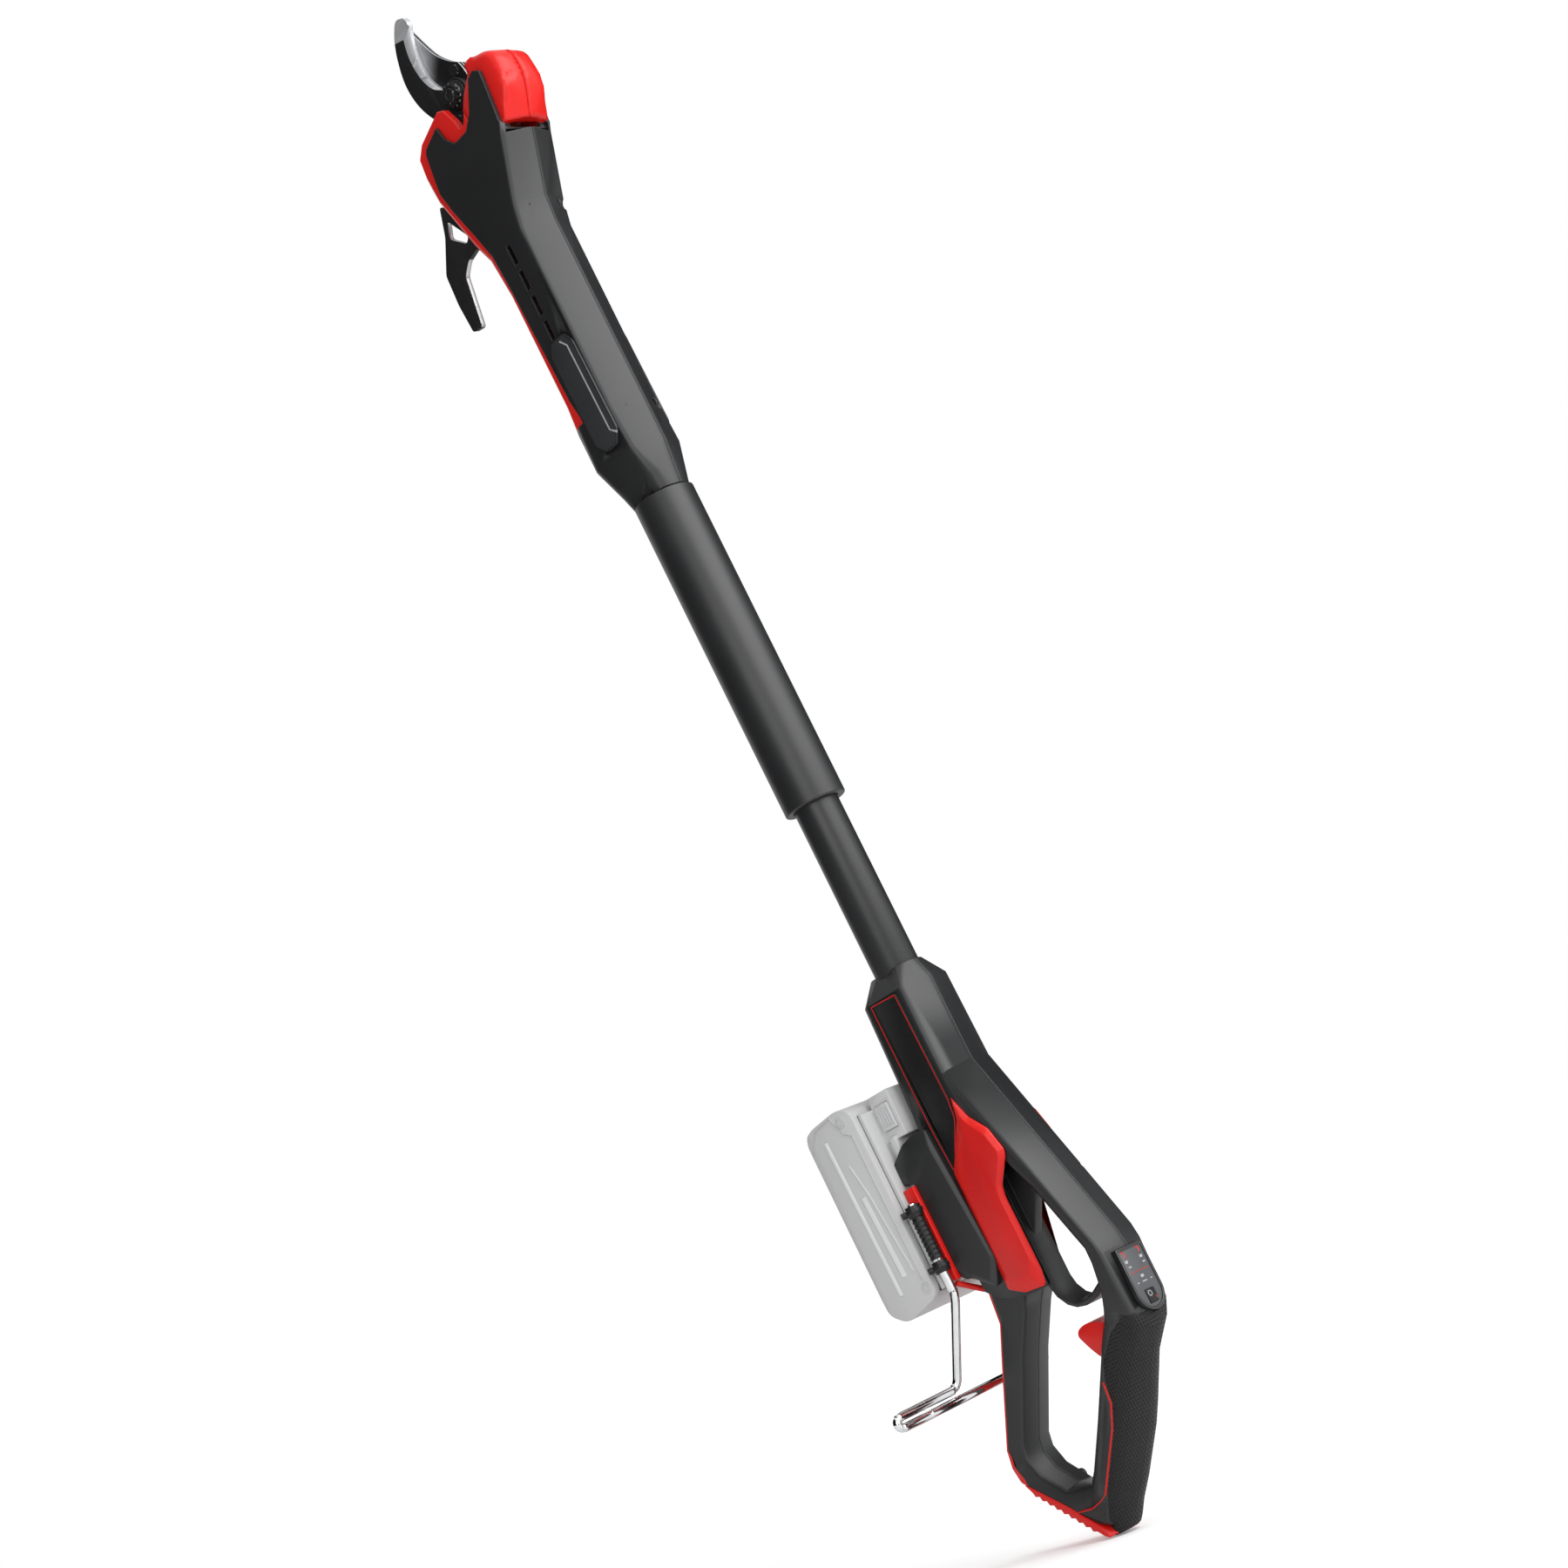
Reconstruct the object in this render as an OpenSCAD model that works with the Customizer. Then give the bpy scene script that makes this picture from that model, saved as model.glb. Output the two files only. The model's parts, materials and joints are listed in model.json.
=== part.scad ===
// Cordless pole pruner: bypass blades on a long tube, D-shaped rear handle, slide-on battery.
// The pole runs along +Z towards the blades, +X is the side with the control panel.
// The origin lies on the pole's axis, half way along its bare stretch.
// Outlines give [x, height], measured from the lowest point of the foot, or from the head's joint.

/* [Pole] */
// Outer diameter of the pole tube
tube_d = 25.4; // [24:0.2:27]
// Wall of the pole tube
tube_wall = 1.6; // [1:0.1:2.5]
// Outer diameter of the grip sleeve
sleeve_d = 35; // [31:0.5:36]
// Height of the sleeve's lower rim
sleeve_bottom = 409; // [380:1:440]
// Length of the grip sleeve
sleeve_len = 190; // [150:5:240]

/* [Housings] */
// Wall of the moulded housings
wall = 2.4; // [1.8:0.1:3]
// Height of the rear housing's mouth round the tube
mouth = 311; // [306:1:316]
// Gap left between neighbouring mouldings
seam = 0.1; // [0.05:0.05:0.2]

/* [Cutting head] */
// Thickness of the fixed blade
fixed_t = 4; // [3:0.1:4.2]
// Thickness of the moving blade
moving_t = 3.5; // [2.5:0.1:3.6]
// Diameter of the pivot bolt
pivot_d = 8; // [6:0.5:9]
// Diameter of the drive pin
drive_pin_d = 5; // [4:0.5:6]
// Diameter of the ball screw
screw_d = 10; // [8:0.5:12]

/* [Handle] */
// Width of the guard strap
guard_w = 16.6; // [12:0.2:20]
// Thickness of the guard strap
guard_t = 3; // [2:0.2:4]
// Width of the trigger
trigger_w = 15; // [12:0.5:18]
// Diameter of the trigger's pin
trigger_pin_d = 4; // [3:0.5:5]

/* [Battery] */
// Width of the battery pack
battery_w = 76; // [70:1:80]
// Length of the battery pack
battery_len = 116; // [108:1:124]
// Diameter of a battery cell
cell_d = 18; // [16:0.5:18.5]

/* [Hanging hook] */
// Diameter of the hook's wire
wire_d = 5; // [4:0.2:5.6]

/* [Hidden] */

$fn = 48;
fit = 0.05;
shell_black = "#2a2b2d";
trim_red = "#d9241f";
steel = "#b9bcc0";
rubber_black = "#1d1d1f";
pack_grey = "#c9cccf";

sleeve_top = sleeve_bottom + sleeve_len;
head_joint = sleeve_top + 1;
origin_height = (mouth + sleeve_bottom) / 2;
far = 400;

// ---- helpers ----

module in_frame(up = 0) translate([0, 0, up - origin_height]) children();

function unit(v) = v / norm(v);

// A corner drawn as a short curve that leaves each neighbouring edge r from the corner
function bend(a, b, c, r, n) = let (
    p = b + unit(a - b) * min(r, norm(a - b) * 0.42),
    q = b + unit(c - b) * min(r, norm(c - b) * 0.42))
    [for (i = [0:n]) let (t = i / n) (1 - t) * (1 - t) * p + 2 * t * (1 - t) * b + t * t * q];

// A closed outline with every corner curved
function soft(points, r = 3, n = 4) = let (count = len(points))
    [for (i = [0:count - 1])
        each bend(points[(i + count - 1) % count], points[i], points[(i + 1) % count], r, n)];

// An open path with its inner corners curved
function soft_path(points, r = 8, n = 5) = let (last = len(points) - 1)
    [points[0], for (i = [1:last - 1]) each bend(points[i - 1], points[i], points[i + 1], r, n),
        points[last]];

// A plate with a side outline, reaching from y = low to y = high
module side(points, low, high)
    translate([0, high, 0]) rotate([90, 0, 0]) linear_extrude(high - low) polygon(points);

// A pin along Y
module pin(x, z, d, low, high)
    translate([x, high, z]) rotate([90, 0, 0]) cylinder(d = d, h = high - low);

// One cross-section of a moulding: [outer point, inner point, ridge depth, ridge half-width,
// border height, border half-width, inner half-width, corner]
function ring(s, n) = let (
    span = norm(s[1] - s[0]),
    u = (s[1] - s[0]) / span,
    corners = [[0, 0], [s[2], s[3]], [span - s[4], s[5]], [span, s[6]],
        [span, -s[6]], [span - s[4], -s[5]], [s[2], -s[3]]],
    outline = soft(corners, s[7], n))
    [for (p = outline) [s[0].x + u.x * p.x, p.y, s[0].y + u.y * p.x]];

function thin(s, t) = let (u = unit(s[1] - s[0]))
    [s[0] + u * t, s[1] - u * t, s[2], s[3] - t, s[4], s[5] - t, s[6] - t * 0.7, s[7]];

function middle(points) = let (count = len(points))
    [for (i = [0:2]) [for (p = points) p[i]] * [for (p = points) 1 / count]];

// A solid through a row of cross-sections; n is how finely its corners are curved
module loft(sections, n = 3) {
    rings = [for (s = sections) ring(s, n)];
    count = len(rings[0]);
    last = len(rings) - 1;
    third = floor(count / 3);
    turn = cross(rings[0][third] - rings[0][0], rings[0][2 * third] - rings[0][0])
        * (middle(rings[1]) - middle(rings[0]));
    walls = [for (i = [0:last - 1]) for (j = [0:count - 1]) let (
        a = i * count + j, b = i * count + (j + 1) % count)
        each [[a, b, b + count], [a, b + count, a + count]]];
    ends = [[for (j = [count - 1:-1:0]) j], [for (j = [0:count - 1]) last * count + j]];
    faces = concat(walls, ends);
    points = [for (r = rings) each r];
    polyhedron(points, turn > 0 ? [for (f = faces) [for (i = [len(f) - 1:-1:0]) f[i]]] : faces,
        convexity = 6);
}

// A wire's bends: one tube swept along a path
module tube(path, d, sides = 16) {
    last = len(path) - 1;
    rings = [for (i = [0:last]) let (
        along = unit(path[min(i + 1, last)] - path[max(i - 1, 0)]),
        across = unit(cross(along, abs(along.y) > 0.9 ? [1, 0, 0] : [0, 1, 0])),
        up = cross(along, across))
        [for (j = [0:sides - 1]) path[i] + d / 2 * (cos(360 * j / sides) * across
            + sin(360 * j / sides) * up)]];
    walls = [for (i = [0:last - 1]) for (j = [0:sides - 1]) let (
        a = i * sides + j, b = i * sides + (j + 1) % sides)
        each [[a, b + sides, b], [a, a + sides, b + sides]]];
    ends = [[for (j = [0:sides - 1]) j], [for (j = [sides - 1:-1:0]) last * sides + j]];
    polyhedron([for (r = rings) each r], concat(walls, ends), convexity = 6);
}

// A housing screw goes in from the far side and ends blind in the near half
case_screw_d = 4;
case_screw_head_d = 6.6;
case_screw_low = -11;
case_screw_high = 13;
screw_boss_d = 7.4;
boss_foot_d = 9;
module boss(p) hull() {
    pin(p.x, p.y, screw_boss_d, -6, 6);
    for (s = [-1, 1]) pin(p.x, p.y, boss_foot_d, s * 20 - 1, s * 20 + 1);
}
module screw_hole(p) {
    pin(p.x, p.y, case_screw_d + 2 * fit, case_screw_low - fit, case_screw_high);
    pin(p.x, p.y, case_screw_head_d + 2 * fit, case_screw_high - 2 - fit, far);
}
module case_screw(p) {
    pin(p.x, p.y, case_screw_d, case_screw_low, case_screw_high - 1);
    pin(p.x, p.y, case_screw_head_d, case_screw_high - 2, case_screw_high);
}

module half(hand)
    intersection() {
        children();
        translate([-far, hand > 0 ? seam / 2 : -2 * far - seam / 2, -far]) cube([2 * far, 2 * far, 4 * far]);
    }

// ---- cutting head: heights from the joint with the sleeve ----

// Outer form of the head, from the round collar to the wide front
head_form = [
    [[17.2, 0], [-17.4, 0], 5, 12.2, 5, 12.2, 7, 6],
    [[18.4, 10], [-20, 9], 5, 14.5, 6, 14, 8, 6],
    [[20.2, 25], [-25.5, 30], 8, 19.6, 6, 18.3, 12, 3],
    [[20.4, 52], [-26, 54], 9.8, 20, 8, 18, 12, 2.5],
    [[20.4, 72], [-23.6, 70], 9.8, 20, 6, 18, 12.5, 2.5],
    [[20.4, 143], [-23.6, 143], 9.6, 20, 5.8, 18, 13, 2.5],
    [[20.2, 166], [-26.2, 168], 9.2, 20, 7, 18, 13, 2.5],
    [[21.4, 181], [-31, 180.5], 6.6, 20, 7.4, 18.2, 13.5, 2.5],
    [[35, 216], [-40.4, 216], 6, 19.6, 7, 18.8, 14.5, 2.5],
    [[46, 240], [-42, 240], 4, 19.2, 7, 18.4, 15, 2.5],
    [[48, 280], [-42, 280], 4, 19, 7, 18, 15, 2.5]];
tube_socket = 42;
core_half_w = 16.4;
slot_low = -11;
slot_high = 11.6;

// Where the black shell meets the red trim, up the underside and round the notch
border = [[-12, 56], [-14.5, 70], [-15.9, 100], [-17.7, 143], [-19.3, 167], [-23, 181.6],
    [-30.6, 204.5], [-33.3, 218], [-29.6, 241.5], [-27.6, 243.8], [-14, 248.6]];
notch = [[-11.9, 239.6], [-8.4, 234.8], [3.6, 234.8], [9.8, 241], [20.6, 256.6], [28, 257.2],
    [33.8, 253.4], [33.4, 247], [31, 222.5], [33.5, 216.2]];
black_outline = concat([[-50, -1], [-50, 56]], border, notch, [[60, 216.2], [60, -1]]);
// The red core carries the cap; its edge shows as a rim round the notch
core_outline = concat([[-50, 56]], [for (i = [0:7]) border[i] - [seam, 0]],
    [[-20, 218], [30, 218], [30, 221.6], [36.8, 221.6], [44.4, 243], [45.2, 257],
    [43.4, 264.6], [37.6, 270.8], [30, 273.6], [24, 273.4], [20.4, 270], [19.6, 262],
    [12.6, 250.6], [7, 243.2], [3.6, 239], [-0.4, 239], [-1.4, 244.8], [-5.6, 254.6],
    [-10.2, 256.6], [-31.4, 249.4], [-38, 243.4], [-41, 216]]);
cap_split = [8.2, 230];

module head_outer() loft(head_form);

module tube_bore() translate([0, 0, -2]) cylinder(d = tube_d + 2 * fit, h = tube_socket + 2);

// The room inside the shells for the drive
module drive_room()
    difference() {
        intersection() {
            loft([for (s = head_form) thin(s, wall)], n = 1);
            translate([-far, -far, tube_socket]) cube([2 * far, 2 * far, 174]);
        }
        for (p = head_screw_at) boss(p);
    }

module core_solid()
    intersection() {
        head_outer();
        side(core_outline, -core_half_w, core_half_w);
    }

module head_shell(hand)
    color(shell_black) in_frame(head_joint) half(hand) difference() {
        intersection() {
            head_outer();
            side(black_outline, -far, far);
        }
        drive_room();
        tube_bore();
        translate([-far, -core_half_w - seam, 216]) cube([2 * far, 2 * (core_half_w + seam), far]);
        for (i = [0:3]) vent(i, hand);
        translate([0, hand * (badge_seat - seam) - (hand < 0 ? 10 : 0), 0])
            side(soft(badge_outline, 1, 1), 0, 10);
        for (p = head_screw_at) screw_hole(p);
    }
module head_shell_left() head_shell(-1);
module head_shell_right() head_shell(1);

module vent(i, hand)
    translate([-4, hand * 20, 110 + vent_pitch * i]) cube([3.4, 12, 12.4], center = true);
vent_pitch = 16.2;

// Screws that hold the head's shells together
head_screw_at = [[13, 50], [-14.4, 180], [15, 178]];
module head_screws() color(steel) in_frame(head_joint) for (p = head_screw_at) case_screw(p);

module head_cap(hand)
    color(trim_red) in_frame(head_joint) half(hand) difference() {
        intersection() {
            core_solid();
            translate([cap_split.x, -far, 216.4]) cube([far, 2 * far, far]);
        }
        blade_slot();
        side(soft([[22, 200], [28, 222], [32, 222], [40, 244], [40.6, 256], [36, 265], [27, 268.6],
            [23, 264], [14, 248], [0, 236]], 3), slot_low - 2, slot_high + 2);
    }
module head_cap_left() head_cap(-1);
module head_cap_right() head_cap(1);

// The long slot between the cheeks, open at the notch
module blade_slot()
    side([[-60, 222], [8, 216], [30, 219], [30, 240], [22.6, 262], [23, 300], [-60, 300]],
        slot_low, slot_high);

// Lower red trim with the lobe left of the notch
module head_trim()
    color(trim_red) in_frame(head_joint) difference() {
        core_solid();
        translate([cap_split.x - seam, -far, 216]) cube([far, 2 * far, far]);
        drive_room();
        difference() {
            blade_slot();
            side([[-60, 200], [-34, 216], [-34, 243], [-60, 250]], -far, far);
        }
        branch_hook_cut();
        hook_screws(fit);
    }

// Octagonal badge on each side of the head, its face left bare
badge_outline = [[5, 103.6], [9.6, 96.4], [10.4, 39.4], [5.2, 32], [-4.4, 32], [-10.2, 38.4],
    [-10.8, 96.8], [-6.7, 103.6]];
badge_seat = 18;
badge_t = 3;
module badge(hand)
    color("#3a3b3d") in_frame(head_joint)
        translate([0, hand > 0 ? badge_seat : -badge_seat - badge_t, 0])
            side(soft([for (p = badge_outline) p * 0.985 + [0, 1]], 1, 1), 0, badge_t);
module badge_left() badge(-1);
module badge_right() badge(1);

// ---- blades and drive ----

pivot = [-2, 262];
drive_pin_at = [1.5, 276];
link_foot = [16, 232];
fixed_face = -0.5;
carrier_low = 3.2;
carrier_t = 3;
link_low = 6.6;
link_t = 3;
screw_x = 2;
counter_screw_at = [-7.4, 248.6];

module fixed_blade()
    color(steel) in_frame(head_joint) difference() {
        union() {
            side(soft([[-18.6, 324.4], [-24.4, 317.6], [-29.6, 307.4], [-33, 295], [-33.2, 284],
                [-30.6, 272.6], [-25.6, 262.6], [-19.4, 254], [-16.6, 247.4], [-13.6, 240.6],
                [-2, 241], [2, 254], [2, 266], [-9.4, 270.6], [-14.2, 277.6], [-17.2, 286.4],
                [-16.7, 300], [-13.6, 312], [-10.4, 317], [-12.4, 321.4]], 2.4, 3),
                fixed_face - fixed_t, fixed_face);
            pin(pivot.x, pivot.y, 20, fixed_face - fixed_t, fixed_face);
        }
        pin(pivot.x, pivot.y, pivot_d + 2 * fit, -20, 20);
        pin(counter_screw_at.x, counter_screw_at.y, 4 + 2 * fit, -20, 20);
    }

module moving_blade()
    color(steel) in_frame(head_joint) difference() {
        side(soft([[-16.2, 315.2], [-21, 306], [-23.4, 296], [-22.4, 285], [-18, 274],
            [-13.2, 264], [-12.4, 256], [-6, 251], [2, 251], [8, 256], [9.4, 264], [8.6, 272.6],
            [6.6, 278.4], [1.3, 282.4], [-6, 290.9], [-10.6, 300.6]], 2, 3),
            -0.4, -0.4 + moving_t);
        pin(pivot.x, pivot.y, pivot_d + 2 * fit, -20, 20);
        pin(drive_pin_at.x, drive_pin_at.y, drive_pin_d, -20, 20);
        pin(drive_pin_at.x, drive_pin_at.y, drive_pin_d + 2, -1, 0.4);
    }

// Bolt through both blades, held in the carrier behind them
module pivot_bolt()
    color("#3c3d40") in_frame(head_joint) difference() {
        union() {
            pin(pivot.x, pivot.y, pivot_d, -10.2, carrier_low + carrier_t);
            pin(pivot.x, pivot.y, pivot_d + 4, carrier_low + carrier_t - 2, carrier_low + carrier_t);
        }
        translate([pivot.x, -8, pivot.y]) rotate([90, 30, 0]) cylinder(d = 5, h = 5, $fn = 6);
    }

// Castellated nut on the near face
module lock_nut()
    color("#26272a") in_frame(head_joint) difference() {
        union() {
            pin(pivot.x, pivot.y, 16.6, fixed_face - fixed_t - 1.2, fixed_face - fixed_t);
            pin(pivot.x, pivot.y, 13.6, -9.4, fixed_face - fixed_t - 1.2);
        }
        pin(pivot.x, pivot.y, pivot_d, -20, 20);
        for (i = [0:11]) translate([pivot.x, -8.4, pivot.y]) rotate([0, 30 * i, 0])
            translate([6.6, 0, 0]) cube([1.6, 3, 1.5], center = true);
    }

module blade_screw()
    color("#3c3d40") in_frame(head_joint) difference() {
        union() {
            pin(counter_screw_at.x, counter_screw_at.y, 4, fixed_face - fixed_t, 6);
            pin(counter_screw_at.x, counter_screw_at.y, 6.8, -6.9, fixed_face - fixed_t);
        }
        translate([counter_screw_at.x, -5.6, counter_screw_at.y]) rotate([90, 0, 0])
            cylinder(d = 3, h = 5, $fn = 6);
    }

// Steel carrier behind the blades: an eye for the bolt and a foot between the cheeks
carrier_toe = [[-24, 228.4], [-12, 227.4]];
module carrier_profile(low, high) {
    pin(pivot.x, pivot.y, 19, low, high);
    side([[-11.4, 262], [-15, 246], [-24, 236], carrier_toe[0], carrier_toe[1], [-2, 227.4], [4.6, 238],
        [7, 260]], low, high);
}
module blade_carrier()
    color("#6d7074") in_frame(head_joint) difference() {
        union() {
            carrier_profile(carrier_low, carrier_low + carrier_t);
            side([[-24, 236], carrier_toe[0], carrier_toe[1], [-12, 238]], slot_low + fit, slot_high - fit);
        }
        pin(pivot.x, pivot.y, pivot_d, -20, 20);
        pin(pivot.x, pivot.y, pivot_d + 4, carrier_low + carrier_t - 2, 20);
        pin(counter_screw_at.x, counter_screw_at.y, 4, -20, 20);
        side([[-30, 262], [-30, 236], [-13, 232], [3, 232], [3, 262]], -20, fixed_face);
    }

module drive_pin()
    color(steel) in_frame(head_joint) {
        pin(drive_pin_at.x, drive_pin_at.y, drive_pin_d + 2, -0.4, 0.4);
        pin(drive_pin_at.x, drive_pin_at.y, drive_pin_d, 0.4, link_low + link_t + 1.2);
    }

// Link from the moving blade to the screw nut; its lower eye has play for the arc
link_play = 1.4;
link_eye_d = 9;
module drive_link()
    color("#8b8e92") in_frame(head_joint) difference() {
        hull() {
            pin(drive_pin_at.x, drive_pin_at.y, link_eye_d + 1, link_low, link_low + link_t);
            pin(link_foot.x, link_foot.y, link_eye_d + 2, link_low, link_low + link_t);
        }
        pin(drive_pin_at.x, drive_pin_at.y, drive_pin_d + 2 * fit, 0, 20);
        pin(link_foot.x, link_foot.y, 4 + 2 * link_play, 0, 20);
    }

module screw_nut()
    color("#a08a4c") in_frame(head_joint) {
        difference() {
            union() {
                translate([screw_x, 0, 212]) cylinder(d = 18, h = 14);
                side([[screw_x, 212], [12, 212], [link_foot.x + 4, 226], [link_foot.x + 4, 236],
                    [link_foot.x - 4, 236], [8.4, 226], [screw_x, 226]], 1, link_low - 0.3);
            }
            translate([screw_x, 0, 200]) cylinder(d = screw_d + 2 * fit, h = 60);
        }
        pin(link_foot.x, link_foot.y, 4, link_low - 0.3, link_low + link_t + 1);
    }

drive_base = 70;
motor_len = 58;
gearbox_len = 32;
module on_drive(up) translate([screw_x, 0, drive_base + up]) children();

module motor_case()
    color("#8b8e92") in_frame(head_joint) on_drive(0) difference() {
        cylinder(d = 28, h = motor_len);
        translate([0, 0, 2]) cylinder(d = 24, h = motor_len - 4);
        translate([0, 0, -1]) cylinder(d = 4 + 2 * fit, h = motor_len + 2);
    }

module motor_rotor()
    color("#a4632c") in_frame(head_joint) on_drive(0) {
        translate([0, 0, 4]) cylinder(d = 20, h = motor_len - 8);
        translate([0, 0, 0.2]) cylinder(d = 4, h = motor_len + 4);
    }

module gearbox_case()
    color("#74777b") in_frame(head_joint) on_drive(motor_len) difference() {
        cylinder(d = 28, h = gearbox_len);
        translate([0, 0, -1]) cylinder(d = 4 + 2 * fit, h = 8);
        translate([0, 0, gearbox_len - 10]) cylinder(d = 6 + 2 * fit, h = 11);
    }

module screw_bearings()
    color(steel) in_frame(head_joint) on_drive(motor_len + gearbox_len) difference() {
        cylinder(d = 26, h = 8);
        translate([0, 0, -1]) cylinder(d = 8 + 2 * fit, h = 10);
    }

module ball_screw()
    color(steel) in_frame(head_joint) on_drive(motor_len + gearbox_len) {
        translate([0, 0, -9]) cylinder(d = 6, h = 10);
        translate([0, 0, 0.2]) cylinder(d = 8, h = 12);
        translate([0, 0, 9]) cylinder(d = screw_d, h = 51);
    }

// ---- branch hook under the head ----

module branch_hook_cut() side(branch_root, -1.6 - fit, 1.6 + fit);
branch_root = [[-30, 215], [-60, 222], [-60, 183], [-22, 183]];
module branch_hook()
    color("#3a3b3d") in_frame(head_joint) difference() {
        side(soft([[-53.8, 222], [-60, 206], [-72.6, 188], [-73.8, 169], [-72.6, 150.4],
            [-64.6, 149], [-59, 179], [-52, 184.6], [-43.4, 186.4], [-29, 183.6], [-24, 184],
            [-31, 214.6], [-42, 214.6]], 1.6, 2), -1.6, 1.6);
        side(soft([[-53, 212], [-57.4, 203], [-47, 193.2], [-43.4, 196]], 1.6, 2), -2, 2);
        hook_screws(fit);
    }
hook_screw_at = [[-31.6, 191], [-34.4, 206]];
hook_screw_half = 7;
module hook_screws(gap) for (p = hook_screw_at)
    pin(p.x, p.y, case_screw_d + 2 * gap, -hook_screw_half - gap, hook_screw_half + gap);
module branch_hook_screws() color(steel) in_frame(head_joint) hook_screws(0);

// ---- pole ----

module pole_tube()
    color("#3b3c3e") in_frame() difference() {
        translate([0, 0, mouth - 62]) cylinder(d = tube_d, h = head_joint + tube_socket - mouth + 62);
        translate([0, 0, 0]) cylinder(d = tube_d - 2 * tube_wall, h = 2 * far + 200);
    }

module grip_sleeve()
    color(shell_black) in_frame(sleeve_bottom) rotate_extrude($fn = 96)
        polygon(soft_path([[tube_d / 2 + fit, sleeve_len], [tube_d / 2 + fit, 0.6],
            [tube_d / 2 + 1.2, 0], [sleeve_d / 2, 0], [sleeve_d / 2, sleeve_len]], 1.2, 4));

// Bundle of motor leads, lying along the wall of the tube
lead_d = 3;
lead_spread = 1.8;
lead_shift = tube_d / 2 - tube_wall - lead_spread - lead_d / 2 - seam;
module wire_harness()
    color("#8a2320") in_frame() for (i = [0:2]) translate([-lead_shift, 0, mouth - 58])
        rotate([0, 0, 120 * i + 60]) translate([lead_spread, 0, 0])
            cylinder(d = lead_d, h = head_joint + tube_socket - mouth + 54);

// ---- rear housing: heights from the foot ----

// Round mouth, then a box with a shallow roof
neck_form = [
    [[15.4, mouth], [-15.4, mouth], 4.6, 11, 4.6, 11, 6.4, 5],
    [[19.3, mouth - 12], [-21, mouth - 12], 5.5, 19.6, 5, 19.2, 14, 3],
    [[19.4, 250], [-21, 250], 5.3, 20.1, 4, 20, 16, 2.5],
    [[21, 226], [-21, 226], 5, 20.1, 3, 20, 18, 2.5],
    [[23, 206], [-27, 206], 4.6, 20, 3, 20, 18, 2.5]];

// Upper beam and the nearly oval grip that follows it
grip_start = 6;
handle_form = [
    [[19.4, 251], [0, 244], 5.3, 20, 3, 19.4, 17, 2.5],
    [[41.8, 179.3], [29.6, 174.6], 3.8, 18.6, 3, 17.8, 14.4, 2.5],
    [[54.8, 139], [42, 136.4], 3.6, 18, 3, 17, 14, 2.5],
    [[56.2, 131.4], [41.8, 128.6], 3.6, 17.6, 3, 17, 14, 2.5],
    [[56.2, 112], [38.6, 114], 4, 17, 3, 16.6, 13.6, 2.5],
    [[56, 96], [34, 106], 4.4, 16.4, 4, 16, 13, 3],
    [[54.4, 87], [28, 101.6], 6, 14.6, 6, 15, 9, 5],
    [[41, 73], [18, 91], 7, 14.6, 7, 15, 8, 6],
    [[24.6, 50.4], [0.8, 68], 7, 15, 7, 15.2, 8.4, 6],
    [[16.6, 40], [-7, 57.6], 7, 15, 7, 15.2, 8.4, 6],
    [[-3.5, 18], [-25, 35.2], 7, 15, 7, 14.6, 8.4, 6],
    [[-20, 2.4], [-37, 22], 6, 14, 6, 13.6, 9, 5]];

// Rear column between the battery dock and the foot
column_form = [
    [[3, 146], [-29, 150], 2, 15, 3, 16, 13, 2],
    [[-4, 133], [-34, 138], 2, 13, 3, 13.6, 11, 2],
    [[-13.6, 122], [-37, 122], 2, 12, 3, 13, 10, 2],
    [[-30, 100.6], [-48, 104], 2, 12, 3, 13, 10, 2],
    [[-56.4, 61], [-72.4, 62], 2, 12, 3, 13, 10, 2],
    [[-58, 54], [-74.4, 52], 2, 12, 3, 13, 10, 2],
    [[-54.6, 44], [-72, 38], 2, 12, 3, 13, 10, 2],
    [[-44, 32.4], [-52, 19], 2, 12, 3, 13, 10, 2],
    [[-16, 28], [-24, 0], 2, 12, 3, 13, 10, 2]];

foot_outer = [[-73.4, 38.4], [-51, 17.4], [-37.4, 4], [-24.4, 0], [-11.6, 1]];
foot_t = 5;
foot_inner = [[-14, 8], [-23, foot_t + 0.8], [-34, foot_t + 4.4], [-46.6, 22.2], [-67, 41]];

// The lower body between the neck and the column; its middle is set back for the guard strap
low_body_outline = [[-21, 226], [-27, 210], [-27, 140], [-20, 134], [-6, 129], [13.6, 128.4],
    [15, 182.4], [28, 198], [24, 226]];
module low_body()
    intersection() {
        side(low_body_outline, -20, 20);
        translate([0, 0, 120]) linear_extrude(110) polygon([[-30, -20], [3.6 + body_step, -20],
            [3.6 + body_step, -19], [3.6, -9], [3.6, 9], [3.6 + body_step, 19], [3.6 + body_step, 20],
            [-30, 20]]);
    }
body_step = 10.4;

module rear_outer() {
    loft(neck_form);
    low_body();
    loft(handle_form);
    loft(column_form);
}

module handle_room()
    loft([for (i = [0:len(handle_form) - 2]) thin(handle_form[i], i < grip_start ? wall : wall + cover_t)],
        n = 1);

// The grip's surface under its rubber
module grip_core()
    loft([for (i = [grip_start - 1:len(handle_form) - 1]) thin(handle_form[i], cover_t)]);

module rear_room() {
    difference() {
        union() {
            loft([for (i = [1:4]) thin(neck_form[i], wall)], n = 1);
            handle_room();
            loft([for (i = [0:6]) thin(column_form[i], wall)], n = 1);
            side([[-18, 224], [-18, 150], [-8, 140], [1, 138], [1, 180], [12, 206], [12, 224]], -16, 16);
        }
        // bulkhead that grips the tube
        translate([-far, -far, mouth - 50]) cube([2 * far, 2 * far, far]);
        for (p = rear_screw_at) boss(p);
    }
}

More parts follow.
